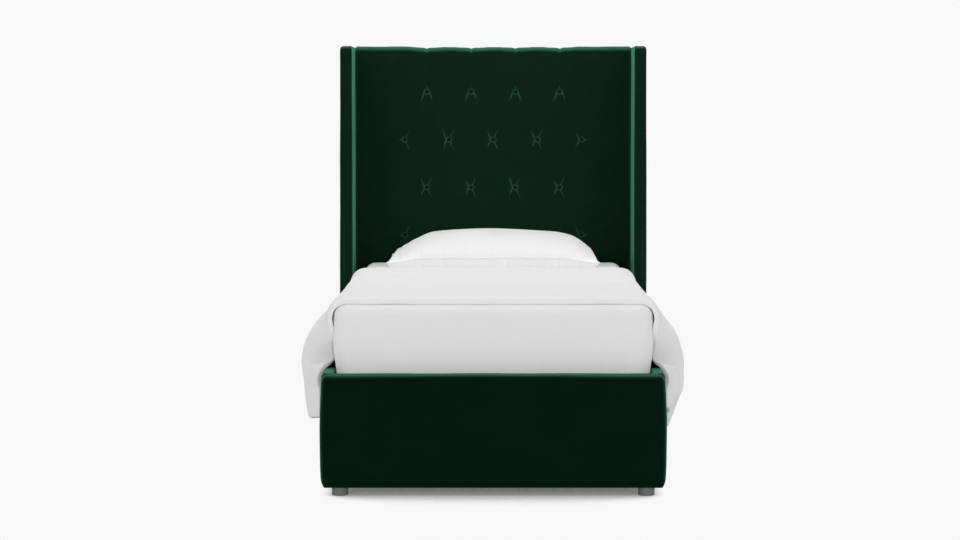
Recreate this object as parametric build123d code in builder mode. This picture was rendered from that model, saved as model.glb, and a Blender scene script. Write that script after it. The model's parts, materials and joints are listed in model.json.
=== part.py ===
from build123d import *
import os
from math import cos, radians, sin, tan

os.makedirs("parts", exist_ok=True)

# A single wingback bed, in millimetres. X runs across the bed, Y from the foot end to the
# head end and Z up. The origin lies on the floor under the middle of the bed.

# The mattress that the bed is built round, and its fitted sheet
mattress_width = 965.0
mattress_length = 1900.0
mattress_height = 254.0
mattress_side_bulge = 2.5
mattress_side_draw_in = 9.0
mattress_end_bulge = 2.0
mattress_end_draw_in = 1.5
mattress_corner_radius = 45.0
mattress_edge_radius = 33.0
mattress_height_shares = (0.0, 0.18, 0.3, 0.45, 0.62, 0.8, 1.0)
mattress_bulge_shares = (0.0, 0.0, 0.4, 0.82, 1.0, 0.94, 0.6)
mattress_foot_gap = 5.0
mattress_head_gap = 5.0
sheet_thickness = 1.2
sheet_ease = 0.2
sheet_hem_width = 100.0

# Heights above the floor
foot_height = 24.0
base_top = 365.0
deck_drop = 47.0
headboard_top = 1388.0
wing_top_drop = 2.0

# Upholstery and boards of the base
fabric_thickness = 2.0
footboard_front_pad = 15.0
footboard_core_thickness = 38.0
footboard_end_pad = 30.0
rail_pad = 12.0
rail_core_thickness = 24.0
top_pad = 12.0
side_bulge = 3.5
lip_depth = 42.0
footboard_corner_radius = 25.0
footboard_edge_radius = 12.0
footboard_back_radius = 1.5
rail_edge_radius = 12.0
rail_inner_radius = 4.0
pad_clearance = 0.3

# Headboard
tufted_pad_thickness = 51.0
plywood_thickness = 12.0
headboard_frame_thickness = 25.0
panel_gap = 0.5
panel_front_radius = 12.0
panel_side_radius = 8.0
panel_back_radius = 6.0
pad_bottom_gap = 2.0
stile_width = 80.0
cross_rail_height = 80.0
bottom_cross_rail_height = 90.0
bottom_cross_rail_drop = 15.0
back_cover_top_gap = 7.0

# Diamond tufting: rows of four and of five buttons by turns, from the top down
tuft_row_counts = (4, 5, 4, 5)
tuft_column_pitch = 167.5
tuft_row_pitch = 180.5
tuft_top_drop = 171.5
tuft_side_margin = 12.0
pleat_depth = 7.0
pleat_half_width = 17.0
top_dip_depth = 5.0
top_dip_half_width = 28.0
dimple_radius = 27.0
dimple_angle = 120.0
button_radius = 11.0
button_height = 7.0
button_dome_radius = 5.0
button_clearance = 0.3
tie_radius = 1.2
tie_hole_radius = 1.6
tie_washer_radius = 9.0
tie_washer_thickness = 1.5

# Wings
wing_depth = 254.0
wing_thickness = 42.5
wing_pad = 10.0
wing_edge_radius = 9.9

# Slats, ledges and the beam under them
slat_count = 12
slat_width = 90.0
slat_thickness = 18.0
slat_end_gap = 1.5
ledge_width = 25.0
ledge_height = 40.0
ledge_end_gap = 1.0
beam_thickness = 25.0
beam_height = 70.0
beam_end_gap = 0.5
leg_spacing_shares = {"front": 0.25, "middle": 0.5, "rear": 0.75}

# Steel angle brackets
bracket_thickness = 3.0
bracket_leg = 50.0
bracket_height = 160.0
bracket_ledge_gap = 10.0
bracket_bolt_inset = 25.0
bracket_hole_edge = 25.0
beam_bracket_width = 80.0
beam_bracket_depth = 50.0
beam_bracket_bolt_spread = 27.0
beam_bracket_bolt_rise = 45.0
beam_bracket_bolt_reach = 34.0

# Bolts and screws
bolt_radius = 4.0
bolt_hole_radius = 4.2
bolt_length = 25.0
bolt_head_radius = 6.5
bolt_head_height = 5.0
bolt_socket_radius = 2.9
bolt_socket_depth = 3.0
bolt_tip_gap = 1.0
wing_bolt_length = 108.0
wing_bolt_rise = 50.0
screw_radius = 2.2
screw_hole_radius = 2.4
screw_length = 35.0
screw_head_radius = 4.2
screw_head_height = 2.6
screw_head_clearance = 0.3
screw_recess = 3.0
screw_slot_radius = 1.6
screw_slot_depth = 1.4
ledge_screw_drop = 30.0

# Feet, legs under the beam and their levellers
foot_radius = 24.75
foot_side_inset = 59.5
foot_plate_thickness = 6.0
foot_wall = 5.0
foot_edge_radius = 1.5
foot_screw_offset = 9.0
leg_radius = 17.0
leg_flange_radius = 30.0
leg_flange_thickness = 5.0
leg_screw_circle_radius = 23.0
leveller_radius = 20.0
leveller_height = 8.0
leveller_edge_radius = 1.5
leveller_gap = 0.3
leveller_stud_radius = 5.0
leveller_bore_radius = 5.06
leveller_stud_length = 36.0
leveller_bore_gap = 3.0

# Duvet: it lies on the mattress and hangs down outside both rails
duvet_thickness = 28.0
duvet_shoulder_thickness = 21.0
duvet_hem_thickness = 20.0
duvet_seat_gap = 0.5
duvet_clearance = 4.0
duvet_rail_clearance = 8.0
duvet_shoulder = 36.0
duvet_flare = 42.0
duvet_front_gap = 80.0
duvet_pillow_gap = 61.0
duvet_slope_rise = 87.0
duvet_belly_drop = 20.0
duvet_belly_sag = 11.0
duvet_hem_drop = 215.0
duvet_hem_wave = 120.0
duvet_shoulder_flare_share = 0.3
duvet_slope_flare_share = 1.25
duvet_belly_flare_share = 0.6
duvet_hem_flare_share = 0.65
duvet_place_shares = (0.0, 0.07, 0.22, 0.45, 0.72, 1.0)
duvet_left_flare_shares = (0.0, 0.6, 1.0, 0.6, 0.95, 0.55)
duvet_right_flare_shares = (0.1, 0.7, 1.0, 0.65, 0.9, 0.6)
duvet_left_hem_shares = (0.33, 0.33, 0.38, 0.6, 0.4, 0.6)
duvet_right_hem_shares = (0.7, 0.75, 1.0, 0.0, 0.4, 0.55)
duvet_outward_angles = {"bend": 45.0, "shoulder": 28.0, "slope": 18.0, "belly": 20.0, "drop": 6.0}

# Pillow: a flat lower side, a sewn edge all round and a crown
pillow_width = 762.0
pillow_depth = 508.0
pillow_height = 141.0
pillow_head_gap = 6.0
pillow_seam_height = 47.0
pillow_seam_thickness = 4.0
pillow_seat_gap = 0.3
pillow_place_shares = (-1.0, -0.88, -0.6, 0.0, 0.6, 0.88, 1.0)
pillow_height_shares = (0.4, 0.72, 0.96, 1.0, 0.96, 0.74, 0.4)
pillow_depth_shares = (0.94, 0.975, 0.965, 0.96, 0.965, 0.975, 0.94)
pillow_bottom_shares = (0.9, 0.82, 0.78, 0.76, 0.78, 0.82, 0.9)
pillow_shoulder_share = 0.62
pillow_shoulder_height_share = 0.9
pillow_cheek_share = 0.9
pillow_cheek_height_share = 0.62
pillow_belly_share = 0.95
pillow_belly_height_share = 0.4

# Cuts run past the faces that they open
overrun = 1.0

# Places that follow from the sizes above
rail_thickness = fabric_thickness + rail_core_thickness + rail_pad
rail_inner_x = mattress_width / 2
rail_outer_x = rail_inner_x + rail_thickness
rail_core_inner_x = rail_inner_x + fabric_thickness
rail_core_outer_x = rail_core_inner_x + rail_core_thickness
wing_inner_x = rail_outer_x + panel_gap
wing_outer_x = wing_inner_x + wing_thickness

footboard_thickness = footboard_front_pad + footboard_core_thickness + fabric_thickness
headboard_thickness = (
    tufted_pad_thickness + plywood_thickness + headboard_frame_thickness + fabric_thickness
)
mattress_bay_length = mattress_foot_gap + mattress_length + mattress_head_gap
overall_length = footboard_thickness + mattress_bay_length + headboard_thickness

foot_face_y = -overall_length / 2
foot_core_front_y = foot_face_y + footboard_front_pad
foot_core_back_y = foot_core_front_y + footboard_core_thickness
foot_back_y = foot_core_back_y + fabric_thickness
mattress_foot_y = foot_back_y + mattress_foot_gap
mattress_centre_y = mattress_foot_y + mattress_length / 2
panel_face_y = mattress_foot_y + mattress_length + mattress_head_gap
plywood_face_y = panel_face_y + tufted_pad_thickness
frame_face_y = plywood_face_y + plywood_thickness
frame_back_y = frame_face_y + headboard_frame_thickness
back_y = frame_back_y + fabric_thickness
wing_front_y = panel_face_y - wing_depth
rail_length = plywood_face_y - foot_back_y

deck_height = base_top - deck_drop
wing_top = headboard_top - wing_top_drop
core_top = base_top - top_pad
frame_top = headboard_top - top_pad
wing_core_top = wing_top - wing_pad
ledge_top = deck_height - slat_thickness
beam_bottom = ledge_top - beam_height
bracket_bottom = ledge_top - ledge_height - bracket_ledge_gap - bracket_height
mattress_top = deck_height + mattress_height
panel_half_width = wing_inner_x - pad_clearance
stile_inner_x = wing_inner_x - stile_width
ledge_inner_x = rail_core_inner_x - ledge_width
frame_centre_y = (frame_face_y + frame_back_y) / 2
foot_centre_x = rail_outer_x - foot_side_inset

sides = {"left": -1, "right": 1}
ends = {"front": 1, "rear": -1}
corner_y = {"front": foot_back_y, "rear": plywood_face_y}
foot_y = {
    "front": foot_face_y + footboard_thickness / 2,
    "rear": frame_back_y - foot_radius,
}


# Helpers

def add_block(low, high, mode=Mode.ADD):
    """A square block between two opposite corners, added to or cut from the part in hand."""
    size = [abs(b - a) for a, b in zip(low, high)]
    middle = [(a + b) / 2 for a, b in zip(low, high)]
    with BuildSketch(Plane.XY.offset(min(low[2], high[2]))) as outline:
        with Locations((middle[0], middle[1])):
            Rectangle(size[0], size[1])
    extrude(outline.sketch, amount=size[2], mode=mode)


def drill(seats, radius, depth):
    """Round holes from each seat down into the part in hand; a seat's Z points out."""
    with Locations(*seats):
        Hole(radius, depth)


def drill_screws(seats):
    """Screw holes with a recess for the head; a seat is the surface that is drilled."""
    with Locations(*seats):
        CounterBoreHole(
            screw_hole_radius,
            screw_head_radius + screw_head_clearance,
            screw_recess,
            screw_recess + screw_length + bolt_tip_gap,
        )


def save(piece, name):
    """Labels a finished piece and writes it."""
    piece.part.label = name
    export_step(piece.part, f"parts/{name}.step")


# Tufting places on the face of the headboard, and the cross rails, which lie clear of them

def tuft_places():
    """Rows of (x, z) button centres, from the top row down."""
    rows = []
    for row, count in enumerate(tuft_row_counts):
        z = headboard_top - tuft_top_drop - row * tuft_row_pitch
        first_x = -(count - 1) / 2 * tuft_column_pitch
        rows.append([(first_x + i * tuft_column_pitch, z) for i in range(count)])
    return rows


tuft_rows = tuft_places()
tuft_points = [point for row in tuft_rows for point in row]
lowest_rows_middle_z = (tuft_rows[-1][0][1] + tuft_rows[-2][0][1]) / 2
middle_rail_bottom = lowest_rows_middle_z - cross_rail_height / 2
middle_rail_top = lowest_rows_middle_z + cross_rail_height / 2
top_rail_bottom = frame_top - cross_rail_height
bottom_rail_bottom = beam_bottom - bottom_cross_rail_drop
cross_rails = {
    "headboard_top_rail": (top_rail_bottom, frame_top),
    "headboard_middle_rail": (middle_rail_bottom, middle_rail_top),
    "headboard_bottom_rail": (
        bottom_rail_bottom, bottom_rail_bottom + bottom_cross_rail_height
    ),
}

# Where bolts and screws sit. Each seat is a plane whose Z points out of the work.

def corner_bolt_seats(side, end):
    """Under the heads of one corner bracket's bolts: two in the rail, two in the end board."""
    x = side * (rail_core_inner_x - bracket_thickness)
    y = corner_y[end] + ends[end] * bracket_thickness
    run_y = corner_y[end] + ends[end] * bracket_bolt_inset
    run_x = side * (rail_core_inner_x - bracket_bolt_inset)
    low_z = bracket_bottom + bracket_hole_edge
    high_z = bracket_bottom + bracket_height - bracket_hole_edge
    in_rail = [Plane((x, run_y, z), z_dir=(-side, 0, 0)) for z in (low_z, high_z)]
    in_end = [Plane((run_x, y, z), z_dir=(0, ends[end], 0)) for z in (low_z, high_z)]
    return in_rail + in_end


def beam_bolt_seats(end):
    """Under the heads of one beam bracket's bolts: two in the end board, one in the beam."""
    y = corner_y[end] + ends[end] * bracket_thickness
    z = beam_bottom - bracket_thickness + beam_bracket_bolt_rise
    in_end = [
        Plane((x, y, z), z_dir=(0, ends[end], 0))
        for x in (-beam_bracket_bolt_spread, beam_bracket_bolt_spread)
    ]
    reach_y = corner_y[end] + ends[end] * beam_bracket_bolt_reach
    in_beam = Plane((0, reach_y, beam_bottom - bracket_thickness), z_dir=(0, 0, -1))
    return in_end + [in_beam]


def wing_bolt_seats(side):
    """On the inner edge of a stile, where the long bolts into a wing start."""
    heights = (
        base_top + wing_bolt_rise,
        middle_rail_top + wing_bolt_rise,
        top_rail_bottom - wing_bolt_rise,
    )
    return [
        Plane((side * stile_inner_x, frame_centre_y, z), z_dir=(-side, 0, 0)) for z in heights
    ]


def foot_screw_seats(side, end):
    """Under a foot's plate: two screws, set towards the board that carries the foot."""
    z = foot_height - foot_plate_thickness
    y = foot_y[end] + foot_screw_offset
    centre_x = side * foot_centre_x
    return [
        Plane((centre_x + dx, y, z), z_dir=(0, 0, -1))
        for dx in (-foot_screw_offset, foot_screw_offset)
    ]


def leg_screw_seats(y):
    """Under a leg's flange: the screws that reach up into the beam or beside it."""
    z = beam_bottom - leg_flange_thickness
    reach = leg_screw_circle_radius
    return [Plane((0, y + dy, z), z_dir=(0, 0, -1)) for dy in (-reach, reach)]


slat_pitch = rail_length / slat_count
slat_y = [foot_back_y + slat_pitch * (i + 1 / 2) for i in range(slat_count)]
leg_y = {
    place: foot_back_y + rail_length * share for place, share in leg_spacing_shares.items()
}
ledge_middle_x = (ledge_inner_x + rail_core_inner_x) / 2
slat_screw_seats = [
    Plane((side * ledge_middle_x, y, deck_height), z_dir=(0, 0, 1))
    for y in slat_y
    for side in sides.values()
]


def ledge_screw_seats(side):
    """On a ledge's inner face, midway between every second pair of slats."""
    return [
        Plane(
            (side * ledge_inner_x, y + slat_pitch / 2, ledge_top - ledge_screw_drop),
            z_dir=(-side, 0, 0),
        )
        for y in slat_y[:-1:2]
    ]


def sunk(seats):
    """The seats of screw heads that lie in recesses below the surfaces drilled."""
    return [seat.offset(-screw_recess) for seat in seats]


# Dimples and pleats of the tufting

dimple_slope = tan(radians(dimple_angle / 2))
dimple_depth = dimple_radius / dimple_slope
button_seat_depth = dimple_depth - (button_radius + button_clearance) / dimple_slope
button_seats = [
    Plane((x, panel_face_y + button_seat_depth, z), z_dir=(0, -1, 0)) for x, z in tuft_points
]
pad_bottom = base_top + pad_bottom_gap


def pleat_lines():
    """Pairs of (x, z) ends: diamonds between the rows, and pleats out to the pad's edges."""
    lines = []
    for upper, lower in zip(tuft_rows, tuft_rows[1:]):
        for a in upper:
            for b in lower:
                if abs(a[0] - b[0]) < tuft_column_pitch:
                    lines.append((a, b))
    for x, z in tuft_rows[0]:
        lines.append(((x, z), (x, headboard_top + overrun)))
    for x, z in tuft_rows[-1]:
        lines.append(((x, z), (x, pad_bottom - overrun)))
    widest = max(tuft_row_counts)
    for row in tuft_rows:
        if len(row) == widest:
            for (x, z), side in ((row[0], -1), (row[-1], 1)):
                lines.append(((x, z), (side * (panel_half_width - tuft_side_margin), z)))
    return lines


# Headboard frame and its plywood face

for word, side in sides.items():
    with BuildPart() as headboard_stile:
        add_block(
            (side * stile_inner_x, frame_face_y, foot_height),
            (side * panel_half_width, frame_back_y, frame_top),
        )
        drill(wing_bolt_seats(side), bolt_hole_radius, wing_bolt_length)
        drill(corner_bolt_seats(side, "rear"), bolt_hole_radius, bolt_length + bolt_tip_gap)
        drill(foot_screw_seats(side, "rear"), screw_hole_radius, screw_length + bolt_tip_gap)
    save(headboard_stile, f"headboard_stile_{word}")

for name, (low_z, high_z) in cross_rails.items():
    with BuildPart() as cross_rail:
        add_block(
            (-stile_inner_x, frame_face_y, low_z), (stile_inner_x, frame_back_y, high_z)
        )
        drill(beam_bolt_seats("rear"), bolt_hole_radius, bolt_length + bolt_tip_gap)
    save(cross_rail, name)

with BuildPart() as headboard_plywood:
    add_block(
        (-panel_half_width, plywood_face_y, foot_height),
        (panel_half_width, frame_face_y, frame_top),
    )
    drill(button_seats, tie_hole_radius, headboard_thickness)
    for side in sides.values():
        drill(corner_bolt_seats(side, "rear"), bolt_hole_radius, bolt_length)
    drill(beam_bolt_seats("rear"), bolt_hole_radius, bolt_length)
save(headboard_plywood, "headboard_plywood")

# Tufted pad: foam and velvet over the face and the top edge

with BuildPart() as headboard_tufted_pad:
    with BuildSketch(Plane.YZ.offset(-panel_half_width)):
        with BuildLine():
            Polyline(
                (panel_face_y, pad_bottom),
                (panel_face_y, headboard_top),
                (frame_back_y, headboard_top),
                (frame_back_y, frame_top),
                (plywood_face_y, frame_top),
                (plywood_face_y, pad_bottom),
                close=True,
            )
        make_face()
    extrude(amount=2 * panel_half_width)
    top_edges = headboard_tufted_pad.edges().filter_by(Axis.X).group_by(Axis.Z)[-1]
    fillet(top_edges.sort_by(Axis.Y)[0], panel_front_radius)
    top_edges = headboard_tufted_pad.edges().filter_by(Axis.X).group_by(Axis.Z)[-1]
    fillet(top_edges.sort_by(Axis.Y)[-1], panel_back_radius)
    side_edges = headboard_tufted_pad.edges().filter_by(Axis.Z).group_by(Axis.Y)[0]
    fillet(side_edges, panel_side_radius)
    mouth = pleat_half_width * (1 + overrun / pleat_depth)
    for (ax, az), (bx, bz) in pleat_lines():
        start = Vector(ax, panel_face_y, az)
        run = Vector(bx, panel_face_y, bz) - start
        with BuildSketch(Plane(start, x_dir=(0, 1, 0), z_dir=run.normalized())):
            with BuildLine():
                Polyline((-overrun, -mouth), (pleat_depth, 0), (-overrun, mouth), close=True)
            make_face()
        extrude(amount=run.length, mode=Mode.SUBTRACT)
    dip_mouth = top_dip_half_width * (1 + overrun / top_dip_depth)
    for x, z in tuft_rows[0]:
        dip_start = (x, panel_face_y - overrun, headboard_top)
        with BuildSketch(Plane(dip_start, x_dir=(0, 0, -1), z_dir=(0, 1, 0))):
            with BuildLine():
                Polyline(
                    (-overrun, -dip_mouth), (top_dip_depth, 0), (-overrun, dip_mouth), close=True
                )
            make_face()
        extrude(amount=headboard_thickness, mode=Mode.SUBTRACT)
    with Locations(*[seat.offset(button_seat_depth) for seat in button_seats]):
        CounterSinkHole(
            tie_hole_radius, dimple_radius, headboard_thickness, dimple_angle
        )
save(headboard_tufted_pad, "headboard_tufted_pad")

with BuildPart() as headboard_back_cover:
    add_block(
        (-panel_half_width, frame_back_y, foot_height),
        (panel_half_width, back_y, headboard_top - back_cover_top_gap),
    )
save(headboard_back_cover, "headboard_back_cover")

# Covered buttons and the ties that hold them through the pad and the plywood

with BuildPart() as one_button:
    with BuildSketch():
        Circle(button_radius)
    extrude(amount=button_height)
    fillet(one_button.edges().group_by(Axis.Z)[-1], button_dome_radius)
with BuildPart() as tuft_buttons:
    with Locations(*button_seats):
        add(one_button.part)
save(tuft_buttons, "tuft_buttons")

tie_length = tufted_pad_thickness - button_seat_depth + plywood_thickness
with BuildPart() as one_tie:
    with BuildSketch():
        Circle(tie_radius)
    extrude(amount=-tie_length)
    with BuildSketch(Plane.XY.offset(-tie_length)):
        Circle(tie_washer_radius)
    extrude(amount=-tie_washer_thickness)
with BuildPart() as tuft_ties:
    with Locations(*button_seats):
        add(one_tie.part)
save(tuft_ties, "tuft_ties")

# Wings: a board inside a padded cover that is open underneath

for word, side in sides.items():
    core_inner_x = side * (wing_inner_x + wing_pad)
    core_outer_x = side * (wing_outer_x - wing_pad)
    core_low = (core_inner_x, wing_front_y + wing_pad, foot_height)
    core_high = (core_outer_x, frame_back_y, wing_core_top)
    with BuildPart() as wing_core:
        add_block(core_low, core_high)
        drill(wing_bolt_seats(side), bolt_hole_radius, wing_bolt_length + bolt_tip_gap)
    save(wing_core, f"wing_core_{word}")
    with BuildPart() as wing_cover:
        add_block(
            (side * wing_inner_x, wing_front_y, foot_height),
            (side * wing_outer_x, back_y, wing_top),
        )
        rounded = wing_cover.edges().filter_by(Axis.Z) + wing_cover.edges().group_by(Axis.Z)[-1]
        fillet(rounded, wing_edge_radius)
        add_block(core_low, core_high, mode=Mode.SUBTRACT)
        drill(wing_bolt_seats(side), bolt_hole_radius, stile_width + wing_pad)
    save(wing_cover, f"wing_cover_{word}")


def make_bolt(length):
    """A socket-head bolt along Z: its head stands on the seat, its shank goes down."""
    with BuildPart() as bolt:
        with BuildSketch():
            Circle(bolt_radius)
        extrude(amount=-length)
        with BuildSketch():
            Circle(bolt_head_radius)
        extrude(amount=bolt_head_height)
        with BuildSketch(Plane.XY.offset(bolt_head_height)):
            RegularPolygon(bolt_socket_radius, side_count=6)
        extrude(amount=-bolt_socket_depth, mode=Mode.SUBTRACT)
    return bolt.part


wing_bolt = make_bolt(wing_bolt_length)
with BuildPart() as wing_bolts:
    with Locations(*[seat for side in sides.values() for seat in wing_bolt_seats(side)]):
        add(wing_bolt)
save(wing_bolts, "wing_bolts")

# Footboard: a board in a padded cover, open underneath, with swelling ends and round corners

footboard_core_half = rail_outer_x - footboard_end_pad
footboard_bolt_seats = beam_bolt_seats("front") + [
    seat for side in sides.values() for seat in corner_bolt_seats(side, "front")
]
with BuildPart() as footboard_core:
    add_block(
        (-footboard_core_half, foot_core_front_y, foot_height),
        (footboard_core_half, foot_core_back_y, core_top),
    )
    drill(footboard_bolt_seats, bolt_hole_radius, bolt_length + bolt_tip_gap)
    for side in sides.values():
        drill(foot_screw_seats(side, "front"), screw_hole_radius, screw_length + bolt_tip_gap)
save(footboard_core, "footboard_core")

with BuildPart() as footboard_cover:
    drawn_x = rail_outer_x - side_bulge
    middle_z = (foot_height + base_top) / 2
    with BuildSketch(Plane.XZ.offset(-foot_back_y)) as face_outline:
        with BuildLine():
            Line((-drawn_x, foot_height), (drawn_x, foot_height))
            ThreePointArc((drawn_x, foot_height), (rail_outer_x, middle_z), (drawn_x, base_top))
            Line((drawn_x, base_top), (-drawn_x, base_top))
            ThreePointArc(
                (-drawn_x, base_top), (-rail_outer_x, middle_z), (-drawn_x, foot_height)
            )
        make_face()
        fillet(face_outline.vertices(), footboard_corner_radius)
    extrude(amount=footboard_thickness)
    fillet(footboard_cover.faces().sort_by(Axis.Y)[0].edges(), footboard_edge_radius)
    fillet(footboard_cover.faces().sort_by(Axis.Y)[-1].edges(), footboard_back_radius)
    add_block(
        (-footboard_core_half, foot_core_front_y, foot_height),
        (footboard_core_half, foot_core_back_y, core_top),
        mode=Mode.SUBTRACT,
    )
    drill(footboard_bolt_seats, bolt_hole_radius, bracket_thickness + fabric_thickness)
save(footboard_cover, "footboard_cover")

# Side rails: a board, and a cover that wraps its outer face and top and turns down inside

for word, side in sides.items():
    with BuildPart() as side_rail_core:
        add_block(
            (side * rail_core_inner_x, foot_back_y, foot_height),
            (side * rail_core_outer_x, plywood_face_y, core_top),
        )
        for end in ends:
            drill(corner_bolt_seats(side, end), bolt_hole_radius, bolt_length + bolt_tip_gap)
        drill_screws(ledge_screw_seats(side))
    save(side_rail_core, f"side_rail_core_{word}")

    with BuildPart() as side_rail_cover:
        drawn_x = rail_outer_x - side_bulge
        middle_z = (foot_height + base_top) / 2
        lip_z = base_top - lip_depth
        with BuildSketch(Plane.XZ.offset(-plywood_face_y)) as rail_profile:
            with BuildLine():
                Line((side * rail_core_outer_x, foot_height), (side * drawn_x, foot_height))
                ThreePointArc(
                    (side * drawn_x, foot_height),
                    (side * rail_outer_x, middle_z),
                    (side * drawn_x, base_top),
                )
                Polyline(
                    (side * drawn_x, base_top),
                    (side * rail_inner_x, base_top),
                    (side * rail_inner_x, lip_z),
                    (side * rail_core_inner_x, lip_z),
                    (side * rail_core_inner_x, core_top),
                    (side * rail_core_outer_x, core_top),
                    (side * rail_core_outer_x, foot_height),
                )
            make_face()
            top_corners = rail_profile.vertices().group_by(Axis.Y)[-1]
            fillet(top_corners.sort_by(lambda corner: abs(corner.X))[-1], rail_edge_radius)
            top_corners = rail_profile.vertices().group_by(Axis.Y)[-1]
            fillet(top_corners.sort_by(lambda corner: abs(corner.X))[0], rail_inner_radius)
        extrude(amount=rail_length)
    save(side_rail_cover, f"side_rail_cover_{word}")

# Corner brackets and beam brackets of folded steel

for end, inward in ends.items():
    for word, side in sides.items():
        corner_x = side * rail_core_inner_x
        far_x = side * (rail_core_inner_x - bracket_leg)
        inner_x = side * (rail_core_inner_x - bracket_thickness)
        face_y = corner_y[end]
        far_y = face_y + inward * bracket_leg
        inner_y = face_y + inward * bracket_thickness
        with BuildPart() as corner_bracket:
            with BuildSketch(Plane.XY.offset(bracket_bottom)):
                with BuildLine():
                    Polyline(
                        (corner_x, face_y),
                        (corner_x, far_y),
                        (inner_x, far_y),
                        (inner_x, inner_y),
                        (far_x, inner_y),
                        (far_x, face_y),
                        close=True,
                    )
                make_face()
            extrude(amount=bracket_height)
            drill(corner_bolt_seats(side, end), bolt_hole_radius, bracket_thickness)
        save(corner_bracket, f"corner_bracket_{end}_{word}")

    with BuildPart() as beam_bracket:
        half_width = beam_bracket_width / 2
        plate_z = beam_bottom - bracket_thickness
        add_block(
            (-half_width, corner_y[end], plate_z),
            (half_width, corner_y[end] + inward * beam_bracket_depth, beam_bottom),
        )
        add_block(
            (-half_width, corner_y[end], plate_z),
            (half_width, corner_y[end] + inward * bracket_thickness, ledge_top),
        )
        drill(beam_bolt_seats(end), bolt_hole_radius, bracket_thickness)
    save(beam_bracket, f"beam_bracket_{end}")

bracket_bolt = make_bolt(bolt_length)
bracket_bolt_seats = [seat for end in ends for seat in beam_bolt_seats(end)] + [
    seat for end in ends for side in sides.values() for seat in corner_bolt_seats(side, end)
]
with BuildPart() as bracket_bolts:
    with Locations(*bracket_bolt_seats):
        add(bracket_bolt)
save(bracket_bolts, "bracket_bolts")

# Ledges, slats and the beam

for word, side in sides.items():
    with BuildPart() as slat_ledge:
        add_block(
            (side * ledge_inner_x, foot_back_y + ledge_end_gap, ledge_top - ledge_height),
            (side * rail_core_inner_x, plywood_face_y - ledge_end_gap, ledge_top),
        )
        drill_screws(ledge_screw_seats(side))
        drill_screws(slat_screw_seats)
    save(slat_ledge, f"slat_ledge_{word}")

slat_half_length = rail_core_inner_x - slat_end_gap
for number, y in enumerate(slat_y, start=1):
    with BuildPart() as slat:
        add_block(
            (-slat_half_length, y - slat_width / 2, ledge_top),
            (slat_half_length, y + slat_width / 2, deck_height),
        )
        drill_screws([seat for seat in slat_screw_seats if seat.origin.Y == y])
    save(slat, f"slat_{number:02d}")

beam_start_y = foot_back_y + bracket_thickness + beam_end_gap
beam_end_y = plywood_face_y - bracket_thickness - beam_end_gap
with BuildPart() as center_beam:
    add_block(
        (-beam_thickness / 2, beam_start_y, beam_bottom),
        (beam_thickness / 2, beam_end_y, ledge_top),
    )
    for end in ends:
        drill(beam_bolt_seats(end), bolt_hole_radius, bolt_length + bolt_tip_gap)
    for y in leg_y.values():
        drill(leg_screw_seats(y), screw_hole_radius, screw_length + bolt_tip_gap)
save(center_beam, "center_beam")

# Legs under the beam, each with a leveller that screws out of it

leg_bottom = leveller_height + leveller_gap
for place, y in leg_y.items():
    with BuildPart() as center_leg:
        with BuildSketch(Plane.XY.offset(leg_bottom)):
            with Locations((0, y)):
                Circle(leg_radius)
        extrude(amount=beam_bottom - leg_bottom)
        with BuildSketch(Plane.XY.offset(beam_bottom - leg_flange_thickness)):
            with Locations((0, y)):
                Circle(leg_flange_radius)
        extrude(amount=leg_flange_thickness)
        stud_seat = Plane((0, y, leg_bottom), z_dir=(0, 0, -1))
        drill([stud_seat], leveller_bore_radius, leveller_stud_length + leveller_bore_gap)
        drill(leg_screw_seats(y), screw_hole_radius, leg_flange_thickness)
    save(center_leg, f"center_leg_{place}")

    with BuildPart() as leveller:
        with BuildSketch():
            with Locations((0, y)):
                Circle(leveller_radius)
        extrude(amount=leveller_height)
        fillet(leveller.edges(), leveller_edge_radius)
        with BuildSketch(Plane.XY.offset(leveller_height)):
            with Locations((0, y)):
                Circle(leveller_stud_radius)
        extrude(amount=leveller_stud_length)
    save(leveller, f"leveller_{place}")

# Feet under the footboard and the headboard

for end in ends:
    for word, side in sides.items():
        centre = (side * foot_centre_x, foot_y[end])
        with BuildPart() as foot:
            with BuildSketch():
                with Locations(centre):
                    Circle(foot_radius)
            extrude(amount=foot_height)
            fillet(foot.edges().group_by(Axis.Z)[0], foot_edge_radius)
            with BuildSketch():
                with Locations(centre):
                    Circle(foot_radius - foot_wall)
            extrude(amount=foot_height - foot_plate_thickness, mode=Mode.SUBTRACT)
            drill(foot_screw_seats(side, end), screw_hole_radius, foot_plate_thickness)
        save(foot, f"foot_{end}_{word}")

# Screws

with BuildPart() as one_screw:
    with BuildSketch():
        Circle(screw_radius)
    extrude(amount=-screw_length)
    with BuildSketch():
        Circle(screw_head_radius)
    extrude(amount=screw_head_height)
    with BuildSketch(Plane.XY.offset(screw_head_height)):
        RegularPolygon(screw_slot_radius, side_count=4)
    extrude(amount=-screw_slot_depth, mode=Mode.SUBTRACT)

screw_groups = {
    "slat_screws": sunk(slat_screw_seats),
    "ledge_screws": sunk([s for side in sides.values() for s in ledge_screw_seats(side)]),
    "foot_screws": [
        seat for end in ends for side in sides.values() for seat in foot_screw_seats(side, end)
    ] + [seat for y in leg_y.values() for seat in leg_screw_seats(y)],
}
for name, seats in screw_groups.items():
    with BuildPart() as screws:
        with Locations(*seats):
            add(one_screw.part)
    save(screws, name)

# Mattress and fitted sheet: a barrel-sided block, drawn in between the rails

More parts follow.
